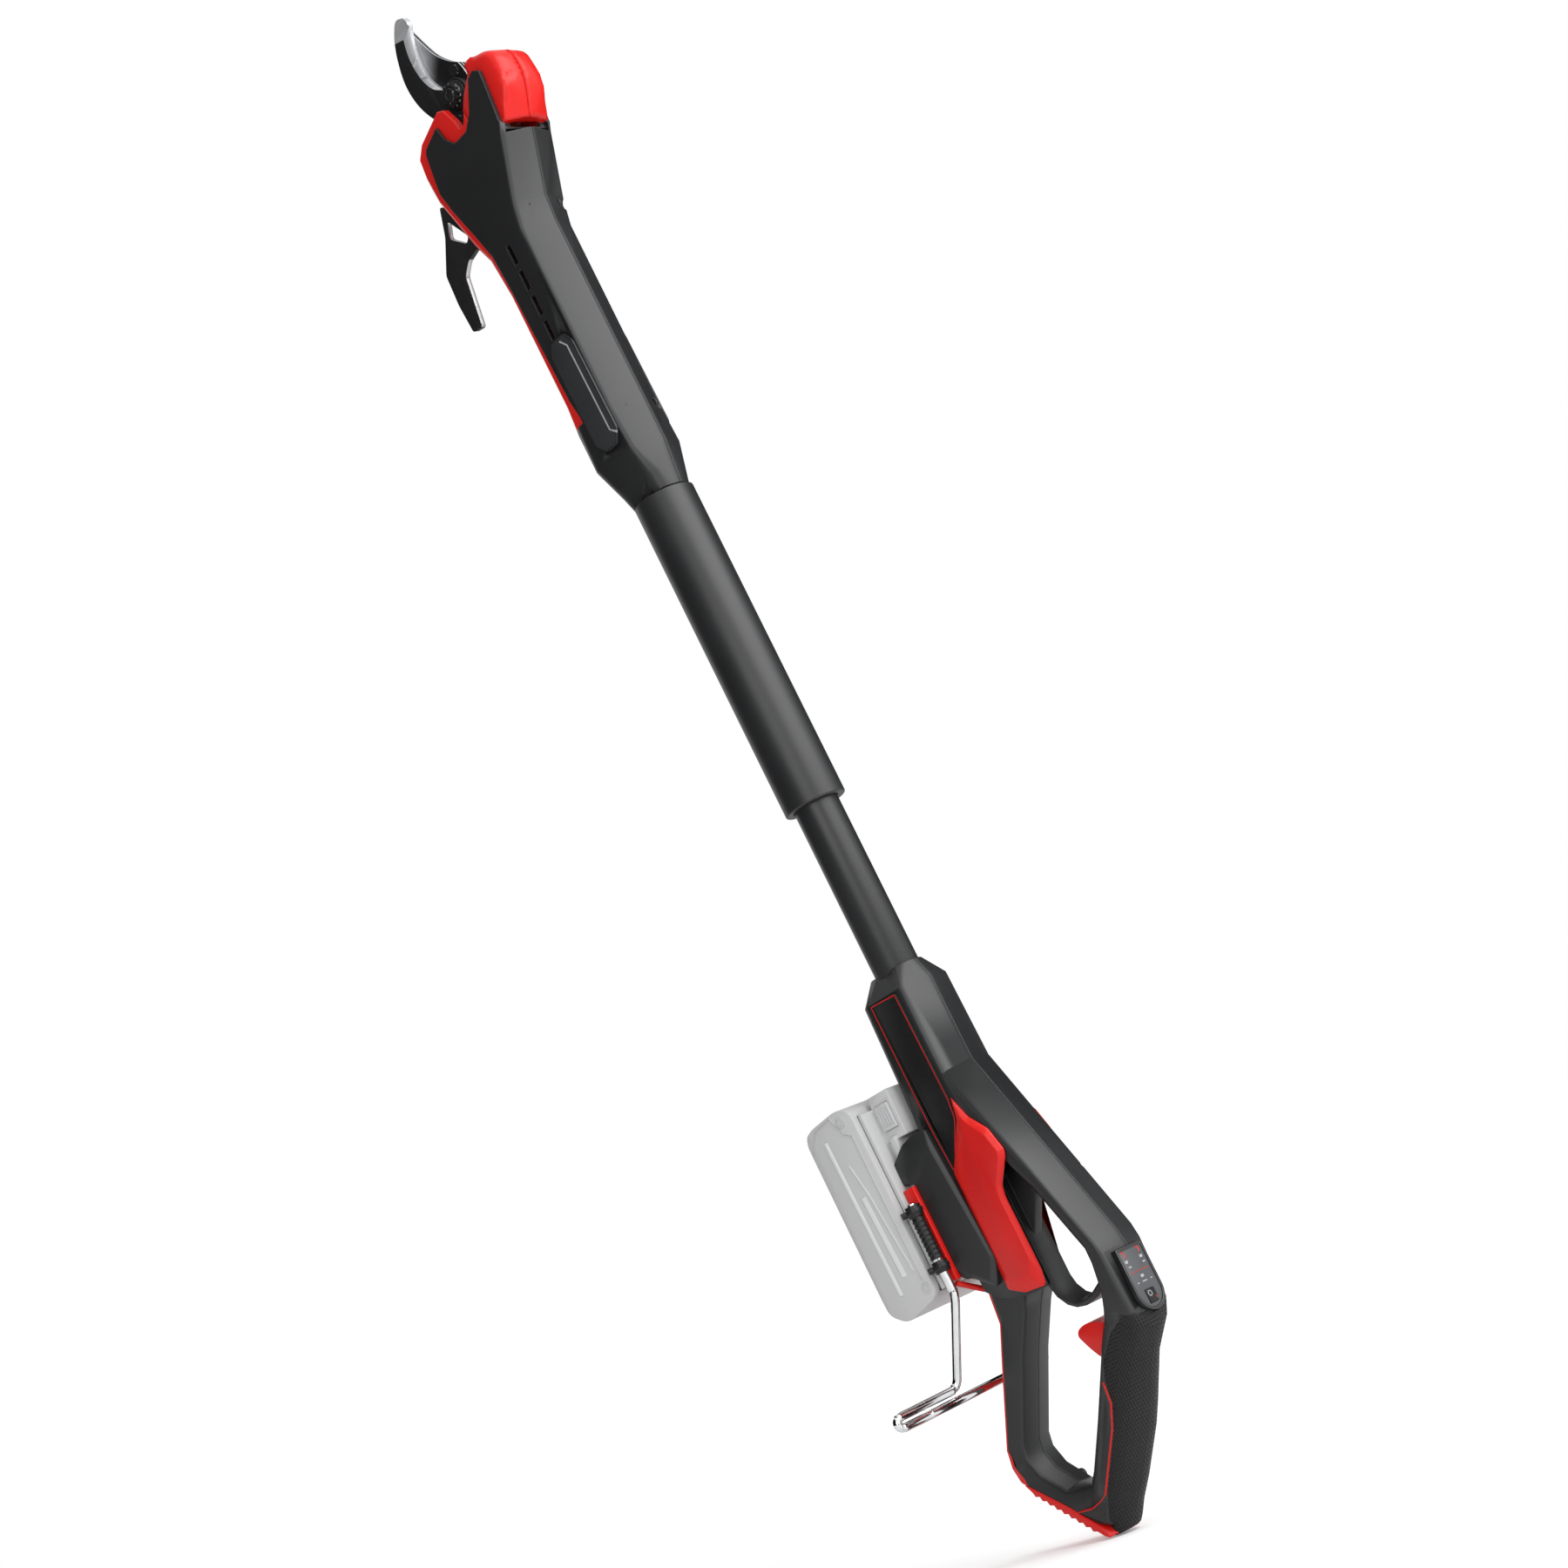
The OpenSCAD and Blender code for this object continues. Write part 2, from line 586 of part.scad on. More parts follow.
cover_t = 2;
rubber_outline = [[80, 84], [47, 99], [33, 93.6], [19, 82], [15.4, 74], [13.6, 61.6],
    [6.6, 49.6], [-17.6, 21], [-25, 9.4], [-29, -20], [80, -20]];

module rear_shell(hand)
    color(shell_black) in_frame() half(hand) difference() {
        rear_outer();
        rear_room();
        translate([0, 0, mouth - 62.5]) cylinder(d = tube_d + 2 * fit, h = 70);
        foot_space();
        column_outside();
        difference() {
            side(rubber_outline, -far, far);
            grip_core();
        }
        panel_space(seam);
        board_block(2 * seam);
        trigger_space();
        guard_form();
        dock_space();
        for (p = rear_screw_at) screw_hole(p);
        pin(trigger_at.x, trigger_at.y, trigger_pin_d + 2 * fit, -pin_half - fit, pin_half + fit);
    }
module rear_shell_left() rear_shell(-1);
module rear_shell_right() rear_shell(1);

module foot_space() side(concat([[-90, 60], [-90, -20], [-8, -20]], foot_inner), -far, far);
module foot_pad()
    color(trim_red) in_frame() difference() {
        side(soft(concat(foot_outer, [for (p = foot_inner) p + [-0.1, -0.1]]), 1.6, 3), -13.4, 13.4);
        for (i = [0:9]) let (t = i / 9, p = (1 - t) * foot_outer[0] + t * foot_outer[2])
            translate([p.x - 0.4, 0, p.y - 0.4]) rotate([0, 47, 0]) cube([2.4, 40, 1.8], center = true);
    }

column_edge = [[-29.6, 150], [-30.6, 140], [-33.2, 122.6], [-44.4, 104.8], [-68.8, 62.4], [-70.6, 52.6],
    [-67, 41]];
module column_outside() side(concat(column_edge, [[-90, 41], [-90, 150]]), -far, far);
module column_trim()
    color(trim_red) in_frame() difference() {
        intersection() {
            loft(column_form);
            column_outside();
        }
        foot_space();
        dock_space();
    }

module grip_cover()
    color(rubber_black) in_frame() difference() {
        intersection() {
            loft(handle_form);
            side(rubber_outline, -far, far);
        }
        grip_core();
        foot_space();
        trigger_space();
        panel_space(seam);
    }

// Guard strap: straight along the body, then round under the beam, with a web at its top
guard_edge = [[3.6, 190], [3.6, 129], [5.6, 121.4], [9.8, 115.4], [14.8, 112.2], [21, 111],
    [29, 112.8], [39.4, 117.6]];
guard_back = [for (i = [7:-1:0]) guard_edge[i]
    + guard_t * unit(i > 6 ? [-0.4, 0.92] : i < 2 ? [1, 0] : [21, 136] - guard_edge[i])];
module guard_form() {
    side(concat(guard_edge, guard_back), -guard_w / 2, guard_w / 2);
    side([[3.6 + guard_t, 190], [19.6, 195], [19.6, 173.5], [3.6 + guard_t, 155]], -3, 3);
}
module trigger_guard() color(shell_black) in_frame() guard_form();

// ---- trigger ----

trigger_at = [38.6, 104.4];
trigger_outline = [[5.8, 98.6], [7.6, 101.6], [12, 102.9], [17, 102.9], [22, 101], [26, 99.8],
    [30, 100.8], [33.4, 104], [35, 109], [41, 109.6], [43.4, 101], [35, 91], [22, 84],
    [13.6, 84.6], [9.6, 91]];
trigger_window = [[0, 100], [30, 108], [33, 112], [46, 112], [47, 99], [38, 86.6], [26, 78.4],
    [14, 77], [4, 84]];
module trigger_space()
    side(trigger_window, -trigger_w / 2 - 0.5, trigger_w / 2 + 0.5);

module trigger()
    color(trim_red) in_frame() difference() {
        side(soft(trigger_outline, 2), -trigger_w / 2, trigger_w / 2);
        pin(trigger_at.x, trigger_at.y, trigger_pin_d + 2 * fit, -20, 20);
        pin(trigger_at.x, trigger_at.y, trigger_pin_d + 7, -3, 3);
    }

pin_half = 15;
module trigger_pin()
    color(steel) in_frame() pin(trigger_at.x, trigger_at.y, trigger_pin_d, -pin_half, pin_half);

// Coil of the trigger's torsion spring
module trigger_spring()
    color(steel) in_frame() difference() {
        pin(trigger_at.x, trigger_at.y, trigger_pin_d + 4, -2.6, 2.6);
        pin(trigger_at.x, trigger_at.y, trigger_pin_d + 2 * fit, -3, 3);
    }

module trigger_switch()
    color("#33353a") in_frame() intersection() {
        side([[37.4, 85.4], [44.6, 93], [56, 86], [46, 72]], -5, 5);
        handle_room();
    }

// ---- control panel on top of the beam ----

panel_half_w = 11;
panel_top = 129;
panel_x = 52.4;
bezel_t = 1.6;

// A slab with straight sides and a round lower end, in the plane of the panel
module panel_slab(half_w, top, low_x, high_x) {
    centre = panel_top - 35 + panel_half_w;
    intersection() {
        union() {
            translate([low_x, -half_w, centre]) cube([high_x - low_x, 2 * half_w, top - centre]);
            translate([low_x, 0, centre]) rotate([0, 90, 0]) cylinder(r = half_w, h = high_x - low_x);
        }
        translate([low_x, -half_w, 0]) cube([high_x - low_x, 2 * half_w, 2 * far]);
    }
}
module panel_space(gap) panel_slab(panel_half_w + gap, panel_top + gap, panel_x, 80);

module panel_bezel()
    color("#1f2022") in_frame() difference() {
        panel_slab(panel_half_w, panel_top, panel_x, 57);
        panel_slab(panel_half_w - bezel_t, panel_top - bezel_t, panel_x - 1, 60);
    }

button_at = [0, 101.4];
button_w = 7;
module panel_face()
    color("#4b4d50") in_frame() difference() {
        panel_slab(panel_half_w - bezel_t, panel_top - bezel_t, panel_x, 56.4);
        translate([panel_x + 1, button_at.x - button_w / 2 - 0.15, button_at.y - button_w / 2 - 0.15])
            cube([10, button_w + 0.3, button_w + 0.3]);
    }
module power_button()
    color("#2c2d2f") in_frame()
        translate([panel_x + 2, button_at.x - button_w / 2, button_at.y - button_w / 2])
            cube([56.9 - panel_x - 2, button_w, button_w]);

board_size = [1.6, 19, 29];
board_low = 97;
module board_block(gap)
    translate([panel_x - seam - board_size.x - gap, -board_size.y / 2 - gap, board_low - gap])
        cube(board_size + [2 * gap, 2 * gap, 2 * gap]);
module control_board() color("#1e5a33") in_frame() board_block(0);

// ---- battery dock ----

dock_half_w = 30;
dock_outline = [[-8.4, 227], [-21.3, 224.8], [-34.6, 206.4], [-30.4, 200.6], [-30.4, 156.4],
    [-14.6, 142.6], [-6.4, 152.3], [1, 176], [-1, 205], [-7, 220]];
dock_ear = [[-12, 231], [-24, 229], [-40.6, 219], [-40.6, 209.6], [-36.6, 205.4], [-27, 200.6],
    [-27, 150], [-18, 138.4], [0, 140], [5, 176], [1, 210]];

module dock_form(hand)
    hull() {
        side(dock_outline, hand > 0 ? dock_half_w - 1 : -dock_half_w, hand > 0 ? dock_half_w : 1 - dock_half_w);
        side(dock_ear, hand > 0 ? 20 : -24, hand > 0 ? 24 : -20);
    }
module dock_space() {
    for (hand = [-1, 1]) dock_form(hand);
}
module dock(hand)
    color(shell_black) in_frame() difference() {
        dock_form(hand);
        // channel for the battery's rails, and the step for the red lining
        translate([-60, -26.4, 100]) cube([33, 52.8, 200]);
        translate([-60, -far, 100]) cube([60 - 30.8, 2 * far, 105.4]);
    }
module dock_left() dock(-1);
module dock_right() dock(1);

rail_low = -38.6;
rail_high = -35.8;
module dock_lining()
    color(trim_red) in_frame() for (hand = [-1, 1]) {
        low = hand > 0 ? 26.4 : -30.4;
        translate([rail_low, low, 152]) cube([-30.9 - rail_low, 4, 53]);
        translate([rail_low, hand > 0 ? 23.6 : -26.4, 152]) cube([rail_high - rail_low, 2.8, 53]);
    }

module terminal_block()
    color("#34363a") in_frame() translate([-30.6, -14, 158]) cube([3.5, 28, 44]);

// ---- battery pack ----

pack_bottom = 143;
pack_x = [-84, -42];
pack_wall = 2.2;
pack_side = [[pack_x[0], pack_bottom + 12], [pack_x[0] + 14, pack_bottom], [-42, pack_bottom + 6],
    [-42, pack_bottom + battery_len - 4], [-50, pack_bottom + battery_len],
    [pack_x[0] + 8, pack_bottom + battery_len - 3], [pack_x[0], pack_bottom + battery_len - 12]];
module pack_profile(gap) offset(delta = -gap) polygon(soft(pack_side, 6));
module battery_case()
    color(pack_grey) in_frame() difference() {
        intersection() {
            rotate([90, 0, 0]) linear_extrude(battery_w, center = true) pack_profile(0);
            linear_extrude(3 * far) polygon(soft([[pack_x[0], -battery_w / 2 + 4],
                [pack_x[0] + 6, -battery_w / 2], [-30, -battery_w / 2], [-30, battery_w / 2],
                [pack_x[0] + 6, battery_w / 2], [pack_x[0], battery_w / 2 - 4]], 3));
        }
        rotate([90, 0, 0]) linear_extrude(battery_w - 2 * pack_wall, center = true)
            pack_profile(pack_wall);
        translate([-42 - pack_wall - 1, -33, pack_bottom + 8]) cube([20, 66, battery_len - 16]);
    }

nose_low = 231;
module battery_cover()
    color("#b4b7ba") in_frame() difference() {
        union() {
            translate([-42, -33, pack_bottom + 8]) cube([3, 66, battery_len - 16]);
            translate([-39, -23.2, pack_bottom + 8]) cube([4, 46.4, battery_len - 22]);
            translate([-35.4, -26, pack_bottom + 8]) cube([4.4, 52, battery_len - 34]);
            translate([-39, -24, nose_low]) cube([15.4, 48, pack_bottom + battery_len - 2 - nose_low]);
        }
        release_block(0.1, -far, pocket_floor);
        translate([-36, -14.4, 140]) cube([8, 28.8, 64]);
    }

module battery_cells()
    color("#58707c") in_frame() for (i = [-2:2]) for (x = [-72.4, -53.6])
        pin(x, pack_bottom + battery_len / 2 + i * (cell_d + 1), cell_d, -32.5, 32.5);

// Release button: a ribbed pad in the near side of the nose, pressed inwards against its spring
release_travel = 3;
release_x = [-36.6, -26.6];
release_z = [237, 251];
release_face = -25.2;
pocket_floor = -14;
spring_d = 6;
module release_block(gap, low, high)
    translate([release_x[0] - gap, low, release_z[0] - gap])
        cube([release_x[1] - release_x[0] + 2 * gap, high - low, release_z[1] - release_z[0] + 2 * gap]);
module release_button()
    color("#8e9194") in_frame() difference() {
        release_block(0, release_face, pocket_floor - release_travel - 0.5);
        for (i = [0:3]) translate([release_x[0] + 1.6 + 2 * i, release_face - 1, release_z[0] + 2])
            cube([0.8, 1.6, release_z[1] - release_z[0] - 4]);
        spring_rod(spring_d + 0.6, spring_len + release_travel + 0.3);
    }
// The spring reaches into the button's bore, so that the button slides over it
spring_len = 5.5;
module spring_rod(d, length)
    pin((release_x[0] + release_x[1]) / 2, (release_z[0] + release_z[1]) / 2, d,
        pocket_floor - length, pocket_floor);
module release_spring() color(steel) in_frame() spring_rod(spring_d, spring_len);

// ---- hanging hook ----

hook_axis = [-34, -34];
hook_top = 197;
hook_bend = 149;
bar_x = -60;
bar_low = 96.4;
bar_gap = 5.8;
hook_path = soft_path([[hook_axis.x, hook_axis.y, hook_bend + 2], [hook_axis.x, hook_axis.y, hook_bend - 4],
    [bar_x, -36, bar_low + bar_gap], [bar_x, -86.6, bar_low + bar_gap], [bar_x, -86.6, bar_low],
    [bar_x, -60, bar_low]], 6, 6);

module wire_hook()
    color("#d5d7da") in_frame() {
        translate([hook_axis.x, hook_axis.y, hook_bend]) cylinder(d = wire_d, h = hook_top - hook_bend);
        tube(hook_path, wire_d - 0.04);
        translate([bar_x, 36, bar_low]) rotate([90, 0, 0]) cylinder(d = wire_d, h = 36 + 62);
    }

clamp_heights = [161.6, 193];
module hook_clamps()
    color("#222326") in_frame() for (z = clamp_heights) difference() {
        translate([hook_axis.x - 4, hook_axis.y - 4, z - 3.4]) cube([8, 7.5, 6.8]);
        translate([hook_axis.x, hook_axis.y, z - 5]) cylinder(d = wire_d + 2 * fit, h = 10);
    }

// Ribbed sleeve on the wire between its clamps
module hook_sleeve()
    color("#222326") in_frame() difference() {
        for (i = [0:8]) translate([hook_axis.x, hook_axis.y, 166 + 2.6 * i]) {
            cylinder(d = 7.2, h = 1.5);
            cylinder(d = 6.4, h = 2.7);
        }
        translate([hook_axis.x, hook_axis.y, 160]) cylinder(d = wire_d + 2 * fit, h = 40);
    }

// ---- screws of the rear housing ----

rear_screw_at = [[-16.8, 284], [-15.8, 240], [36, 175], [46.4, 121], [-25.6, 124], [-52, 34]];
module rear_screws() color(steel) in_frame() for (p = rear_screw_at) case_screw(p);

// ---- trim plates on the sides of the rear housing ----

plate_outline = [[10.2, 235.6], [13.7, 225.6], [24.7, 212.6], [28.3, 198], [15, 182.4], [13.4, 128.2],
    [-2.6, 130.6], [-12.9, 135.4], [-9.1, 199.5]];
plate_seat = 20.2;
module side_plate(hand)
    color(trim_red) in_frame() difference() {
        hull() {
            side(plate_outline, hand > 0 ? plate_seat : -plate_seat - 0.6, hand > 0 ? plate_seat + 0.6 : -plate_seat);
            side([for (p = plate_outline) p * 0.9 + [0.4, 18.2]], hand > 0 ? plate_seat : -plate_seat - 3,
                hand > 0 ? plate_seat + 3 : -plate_seat);
        }
        side(label_outline, -far, far);
        dock_form(hand);
    }
module side_plate_left() side_plate(-1);
module side_plate_right() side_plate(1);

label_outline = [[9, 298], [-10.8, 298.7], [-9.9, 202], [8.6, 226], [9.6, 236.4]];
module label_panel(hand)
    color("#1c1d1f") in_frame() difference() {
        side(label_outline, hand > 0 ? plate_seat : -plate_seat - 0.8, hand > 0 ? plate_seat + 0.8 : -plate_seat);
        dock_form(hand);
    }
module label_panel_left() label_panel(-1);
module label_panel_right() label_panel(1);

// Thin red line between the rubber and the bare front of the grip
line_points = [[15.4, 80], [14.6, 74], [12.8, 61.9], [5.9, 50.1], [-18.2, 21.6], [-25, 10]];
module grip_line()
    color(trim_red) in_frame() for (hand = [-1, 1])
        side(concat(line_points, [for (i = [5:-1:0]) line_points[i] - [0.9, -0.3]]),
            hand > 0 ? 15.2 : -16, hand > 0 ? 16 : -15.2);

pole_tube();
grip_sleeve();
wire_harness();
head_shell_left();
head_shell_right();
head_cap_left();
head_cap_right();
head_trim();
badge_left();
badge_right();
head_screws();
fixed_blade();
moving_blade();
pivot_bolt();
lock_nut();
blade_screw();
blade_carrier();
drive_pin();
drive_link();
screw_nut();
ball_screw();
screw_bearings();
gearbox_case();
motor_case();
motor_rotor();
branch_hook();
branch_hook_screws();
rear_shell_left();
rear_shell_right();
side_plate_left();
side_plate_right();
label_panel_left();
label_panel_right();
dock_left();
dock_right();
dock_lining();
terminal_block();
column_trim();
foot_pad();
grip_cover();
grip_line();
trigger_guard();
trigger();
trigger_pin();
trigger_spring();
trigger_switch();
control_board();
panel_bezel();
panel_face();
power_button();
battery_case();
battery_cover();
battery_cells();
release_button();
release_spring();
wire_hook();
hook_clamps();
hook_sleeve();
rear_screws();
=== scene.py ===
import json
import math
import bmesh
import bpy
from mathutils import Matrix, Vector


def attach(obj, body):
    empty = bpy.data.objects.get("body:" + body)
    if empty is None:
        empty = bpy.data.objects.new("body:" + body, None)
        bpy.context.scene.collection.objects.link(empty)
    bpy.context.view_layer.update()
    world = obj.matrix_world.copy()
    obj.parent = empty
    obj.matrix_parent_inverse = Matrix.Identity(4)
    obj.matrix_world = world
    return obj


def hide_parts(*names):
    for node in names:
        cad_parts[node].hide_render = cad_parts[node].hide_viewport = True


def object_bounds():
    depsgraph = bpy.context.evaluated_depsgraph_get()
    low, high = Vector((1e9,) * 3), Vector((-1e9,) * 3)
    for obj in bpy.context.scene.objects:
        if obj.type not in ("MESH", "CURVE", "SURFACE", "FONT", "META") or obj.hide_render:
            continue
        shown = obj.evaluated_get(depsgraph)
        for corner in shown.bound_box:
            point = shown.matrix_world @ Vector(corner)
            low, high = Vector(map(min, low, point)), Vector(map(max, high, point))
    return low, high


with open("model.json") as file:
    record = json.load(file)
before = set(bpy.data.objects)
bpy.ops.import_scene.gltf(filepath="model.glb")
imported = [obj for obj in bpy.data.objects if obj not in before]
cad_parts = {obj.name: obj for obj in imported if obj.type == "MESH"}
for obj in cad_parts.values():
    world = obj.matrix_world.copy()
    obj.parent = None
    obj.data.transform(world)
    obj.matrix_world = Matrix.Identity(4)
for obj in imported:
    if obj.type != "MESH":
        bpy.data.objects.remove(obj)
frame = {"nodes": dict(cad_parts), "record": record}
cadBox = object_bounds()
scene = bpy.context.scene
mm = 0.001
headLift = 240  # heights on the head count from its joint with the sleeve, in mm
rearLift = -360  # heights on the rear housing count from the foot, in mm
sides = {"left": -1, "right": 1}  # the camera looks at the left side, which is -Y

# The camera stands low on the left and is rolled over, so the pole leans across the view
cameraSettings = {
    "place": (1.09158, -1.23219, -0.24793),
    "azimuth": 41.898,
    "elevation": -10.834,
    "roll": -26.269,
    "lens": 71.913,
}


def makeCamera(s):
    azimuth, elevation = math.radians(s["azimuth"]), math.radians(s["elevation"])
    back = Vector((math.sin(azimuth) * math.cos(elevation), -math.cos(azimuth) * math.cos(elevation),
                   math.sin(elevation)))
    right = Vector((0, 0, 1)).cross(back).normalized()
    turn = Matrix((right, back.cross(right), back)).transposed().to_4x4()
    data = bpy.data.cameras.new("studioCamera")
    data.lens = s["lens"]
    data.sensor_width = 36
    data.clip_start = 0.05
    data.clip_end = 60
    camera = bpy.data.objects.new("studioCamera", data)
    camera.matrix_world = (Matrix.Translation(s["place"]) @ turn
                           @ Matrix.Rotation(math.radians(s["roll"]), 4, "Z"))
    scene.collection.objects.link(camera)
    scene.camera = camera
    return camera.matrix_world.to_3x3()


view = makeCamera(cameraSettings)
print("camera is in place")

# Lamps and cards count from the tool's middle along the camera's right, up and backwards, in metres
lightSettings = {
    "key": {"place": (0.85, 1.45, 0.75), "size": 2.0, "power": 46},
    "fill": {"place": (-0.6, 0.5, 2.1), "size": 1.2, "power": 12},
}
# Black cards that only reflections show
flagSettings = {
    "sideFlag": {"place": (-1.05, -0.27, 0.2), "size": 2.6},
    "backFlag": {"place": (1.0, 1.1, -1.7), "size": 2.6},
    "frontFlag": {"place": (0.15, 0.05, 2.6), "size": 1.1},
}
worldLevel = 0.55
# The floor slopes a little towards the far right; its glow grows with the distance from the foot
floorSettings = {
    "normal": (0.122, 0.07, 0.99),
    "place": (-0.034, 0, -0.3605),
    "size": 14,
    "color": (0.85, 0.85, 0.85, 1),
    "reach": (0.5, 1.3),
    "glow": (0.2, 0.62),
}


def makeLight(name, s):
    middle = (cadBox[0] + cadBox[1]) / 2
    data = bpy.data.lights.new(name + "Softbox", "AREA")
    data.size = s["size"]
    data.energy = s["power"]
    light = bpy.data.objects.new(name + "Softbox", data)
    offset = view @ Vector(s["place"])
    aim = (-offset).to_track_quat("-Z", "Y").to_matrix().to_4x4()
    light.matrix_world = Matrix.Translation(middle + offset) @ aim
    scene.collection.objects.link(light)


def makeFlag(name, s, cloth):
    middle = (cadBox[0] + cadBox[1]) / 2
    offset = view @ Vector(s["place"])
    card = bmesh.new()
    bmesh.ops.create_grid(card, x_segments=1, y_segments=1, size=s["size"] / 2)
    turn = (-offset).to_track_quat("Z", "Y").to_matrix().to_4x4()
    bmesh.ops.transform(card, matrix=Matrix.Translation(middle + offset) @ turn, verts=card.verts)
    mesh = bpy.data.meshes.new(name)
    card.to_mesh(mesh)
    card.free()
    flag = bpy.data.objects.new(name, mesh)
    scene.collection.objects.link(flag)
    mesh.materials.append(cloth)
    flag.visible_camera = flag.visible_diffuse = flag.visible_shadow = False


def newMaterial(name):
    material = bpy.data.materials.new(name)
    material.use_nodes = True
    return material


def add(material, kind, inputs=None, **settings):
    node = material.node_tree.nodes.new(kind)
    for key, value in settings.items():
        setattr(node, key, value)
    for key, value in (inputs or {}).items():
        node.inputs[key].default_value = value
    return node


def join(material, source, output, target, socket):
    material.node_tree.links.new(source.outputs[output], target.inputs[socket])


def makeWorld(levelOnTool):
    world = bpy.data.worlds.new("studioWorld")
    scene.world = world
    world.use_nodes = True
    nodes, links = world.node_tree.nodes, world.node_tree.links
    background = nodes["Background"]
    background.inputs["Color"].default_value = (1, 1, 1, 1)
    path = nodes.new("ShaderNodeLightPath")
    strength = None
    for ray in ("Is Camera Ray", "Is Glossy Ray", "Is Transmission Ray"):
        brighter = nodes.new("ShaderNodeMath")
        brighter.operation = "MAXIMUM"
        brighter.inputs[1].default_value = levelOnTool
        links.new(path.outputs[ray], brighter.inputs[0])
        if strength:
            links.new(strength, brighter.inputs[1])
        strength = brighter.outputs[0]
    links.new(strength, background.inputs["Strength"])


def makeFloor(s):
    sheet = bmesh.new()
    bmesh.ops.create_grid(sheet, x_segments=1, y_segments=1, size=s["size"])
    tilt = Vector((0, 0, 1)).rotation_difference(Vector(s["normal"]))
    bmesh.ops.rotate(sheet, verts=sheet.verts, matrix=tilt.to_matrix())
    bmesh.ops.translate(sheet, verts=sheet.verts, vec=s["place"])
    mesh = bpy.data.meshes.new("studioFloor")
    sheet.to_mesh(mesh)
    sheet.free()
    floor = bpy.data.objects.new("studioFloor", mesh)
    scene.collection.objects.link(floor)
    material = newMaterial("paleFloor")
    surface = material.node_tree.nodes["Principled BSDF"]
    surface.inputs["Base Color"].default_value = s["color"]
    surface.inputs["Roughness"].default_value = 0.9
    surface.inputs["Specular IOR Level"].default_value = 0.1
    surface.inputs["Emission Color"].default_value = (1, 1, 1, 1)
    path = add(material, "ShaderNodeLightPath")
    place = add(material, "ShaderNodeTexCoord")
    away = add(material, "ShaderNodeVectorMath", operation="DISTANCE")
    away.inputs[1].default_value = s["place"]
    join(material, place, "Object", away, 0)
    near, far = s["reach"]
    glow = add(material, "ShaderNodeMapRange", {"From Min": near, "From Max": far},
               interpolation_type="SMOOTHSTEP")
    glow.inputs["To Min"].default_value, glow.inputs["To Max"].default_value = s["glow"]
    join(material, away, "Value", glow, "Value")
    shown = add(material, "ShaderNodeMath", operation="MULTIPLY")
    join(material, path, "Is Camera Ray", shown, 0)
    join(material, glow, "Result", shown, 1)
    join(material, shown, "Value", surface, "Emission Strength")
    mesh.materials.append(material)


makeWorld(worldLevel)
makeFloor(floorSettings)
flagCloth = newMaterial("flagCloth")
flagSurface = flagCloth.node_tree.nodes["Principled BSDF"]
flagSurface.inputs["Base Color"].default_value = (0.004, 0.004, 0.004, 1)
flagSurface.inputs["Specular IOR Level"].default_value = 0
for name, s in flagSettings.items():
    makeFlag(name, s, flagCloth)
for name, s in lightSettings.items():
    makeLight(name, s)
scene.view_settings.view_transform = "Standard"
print("stage and lights are in place")

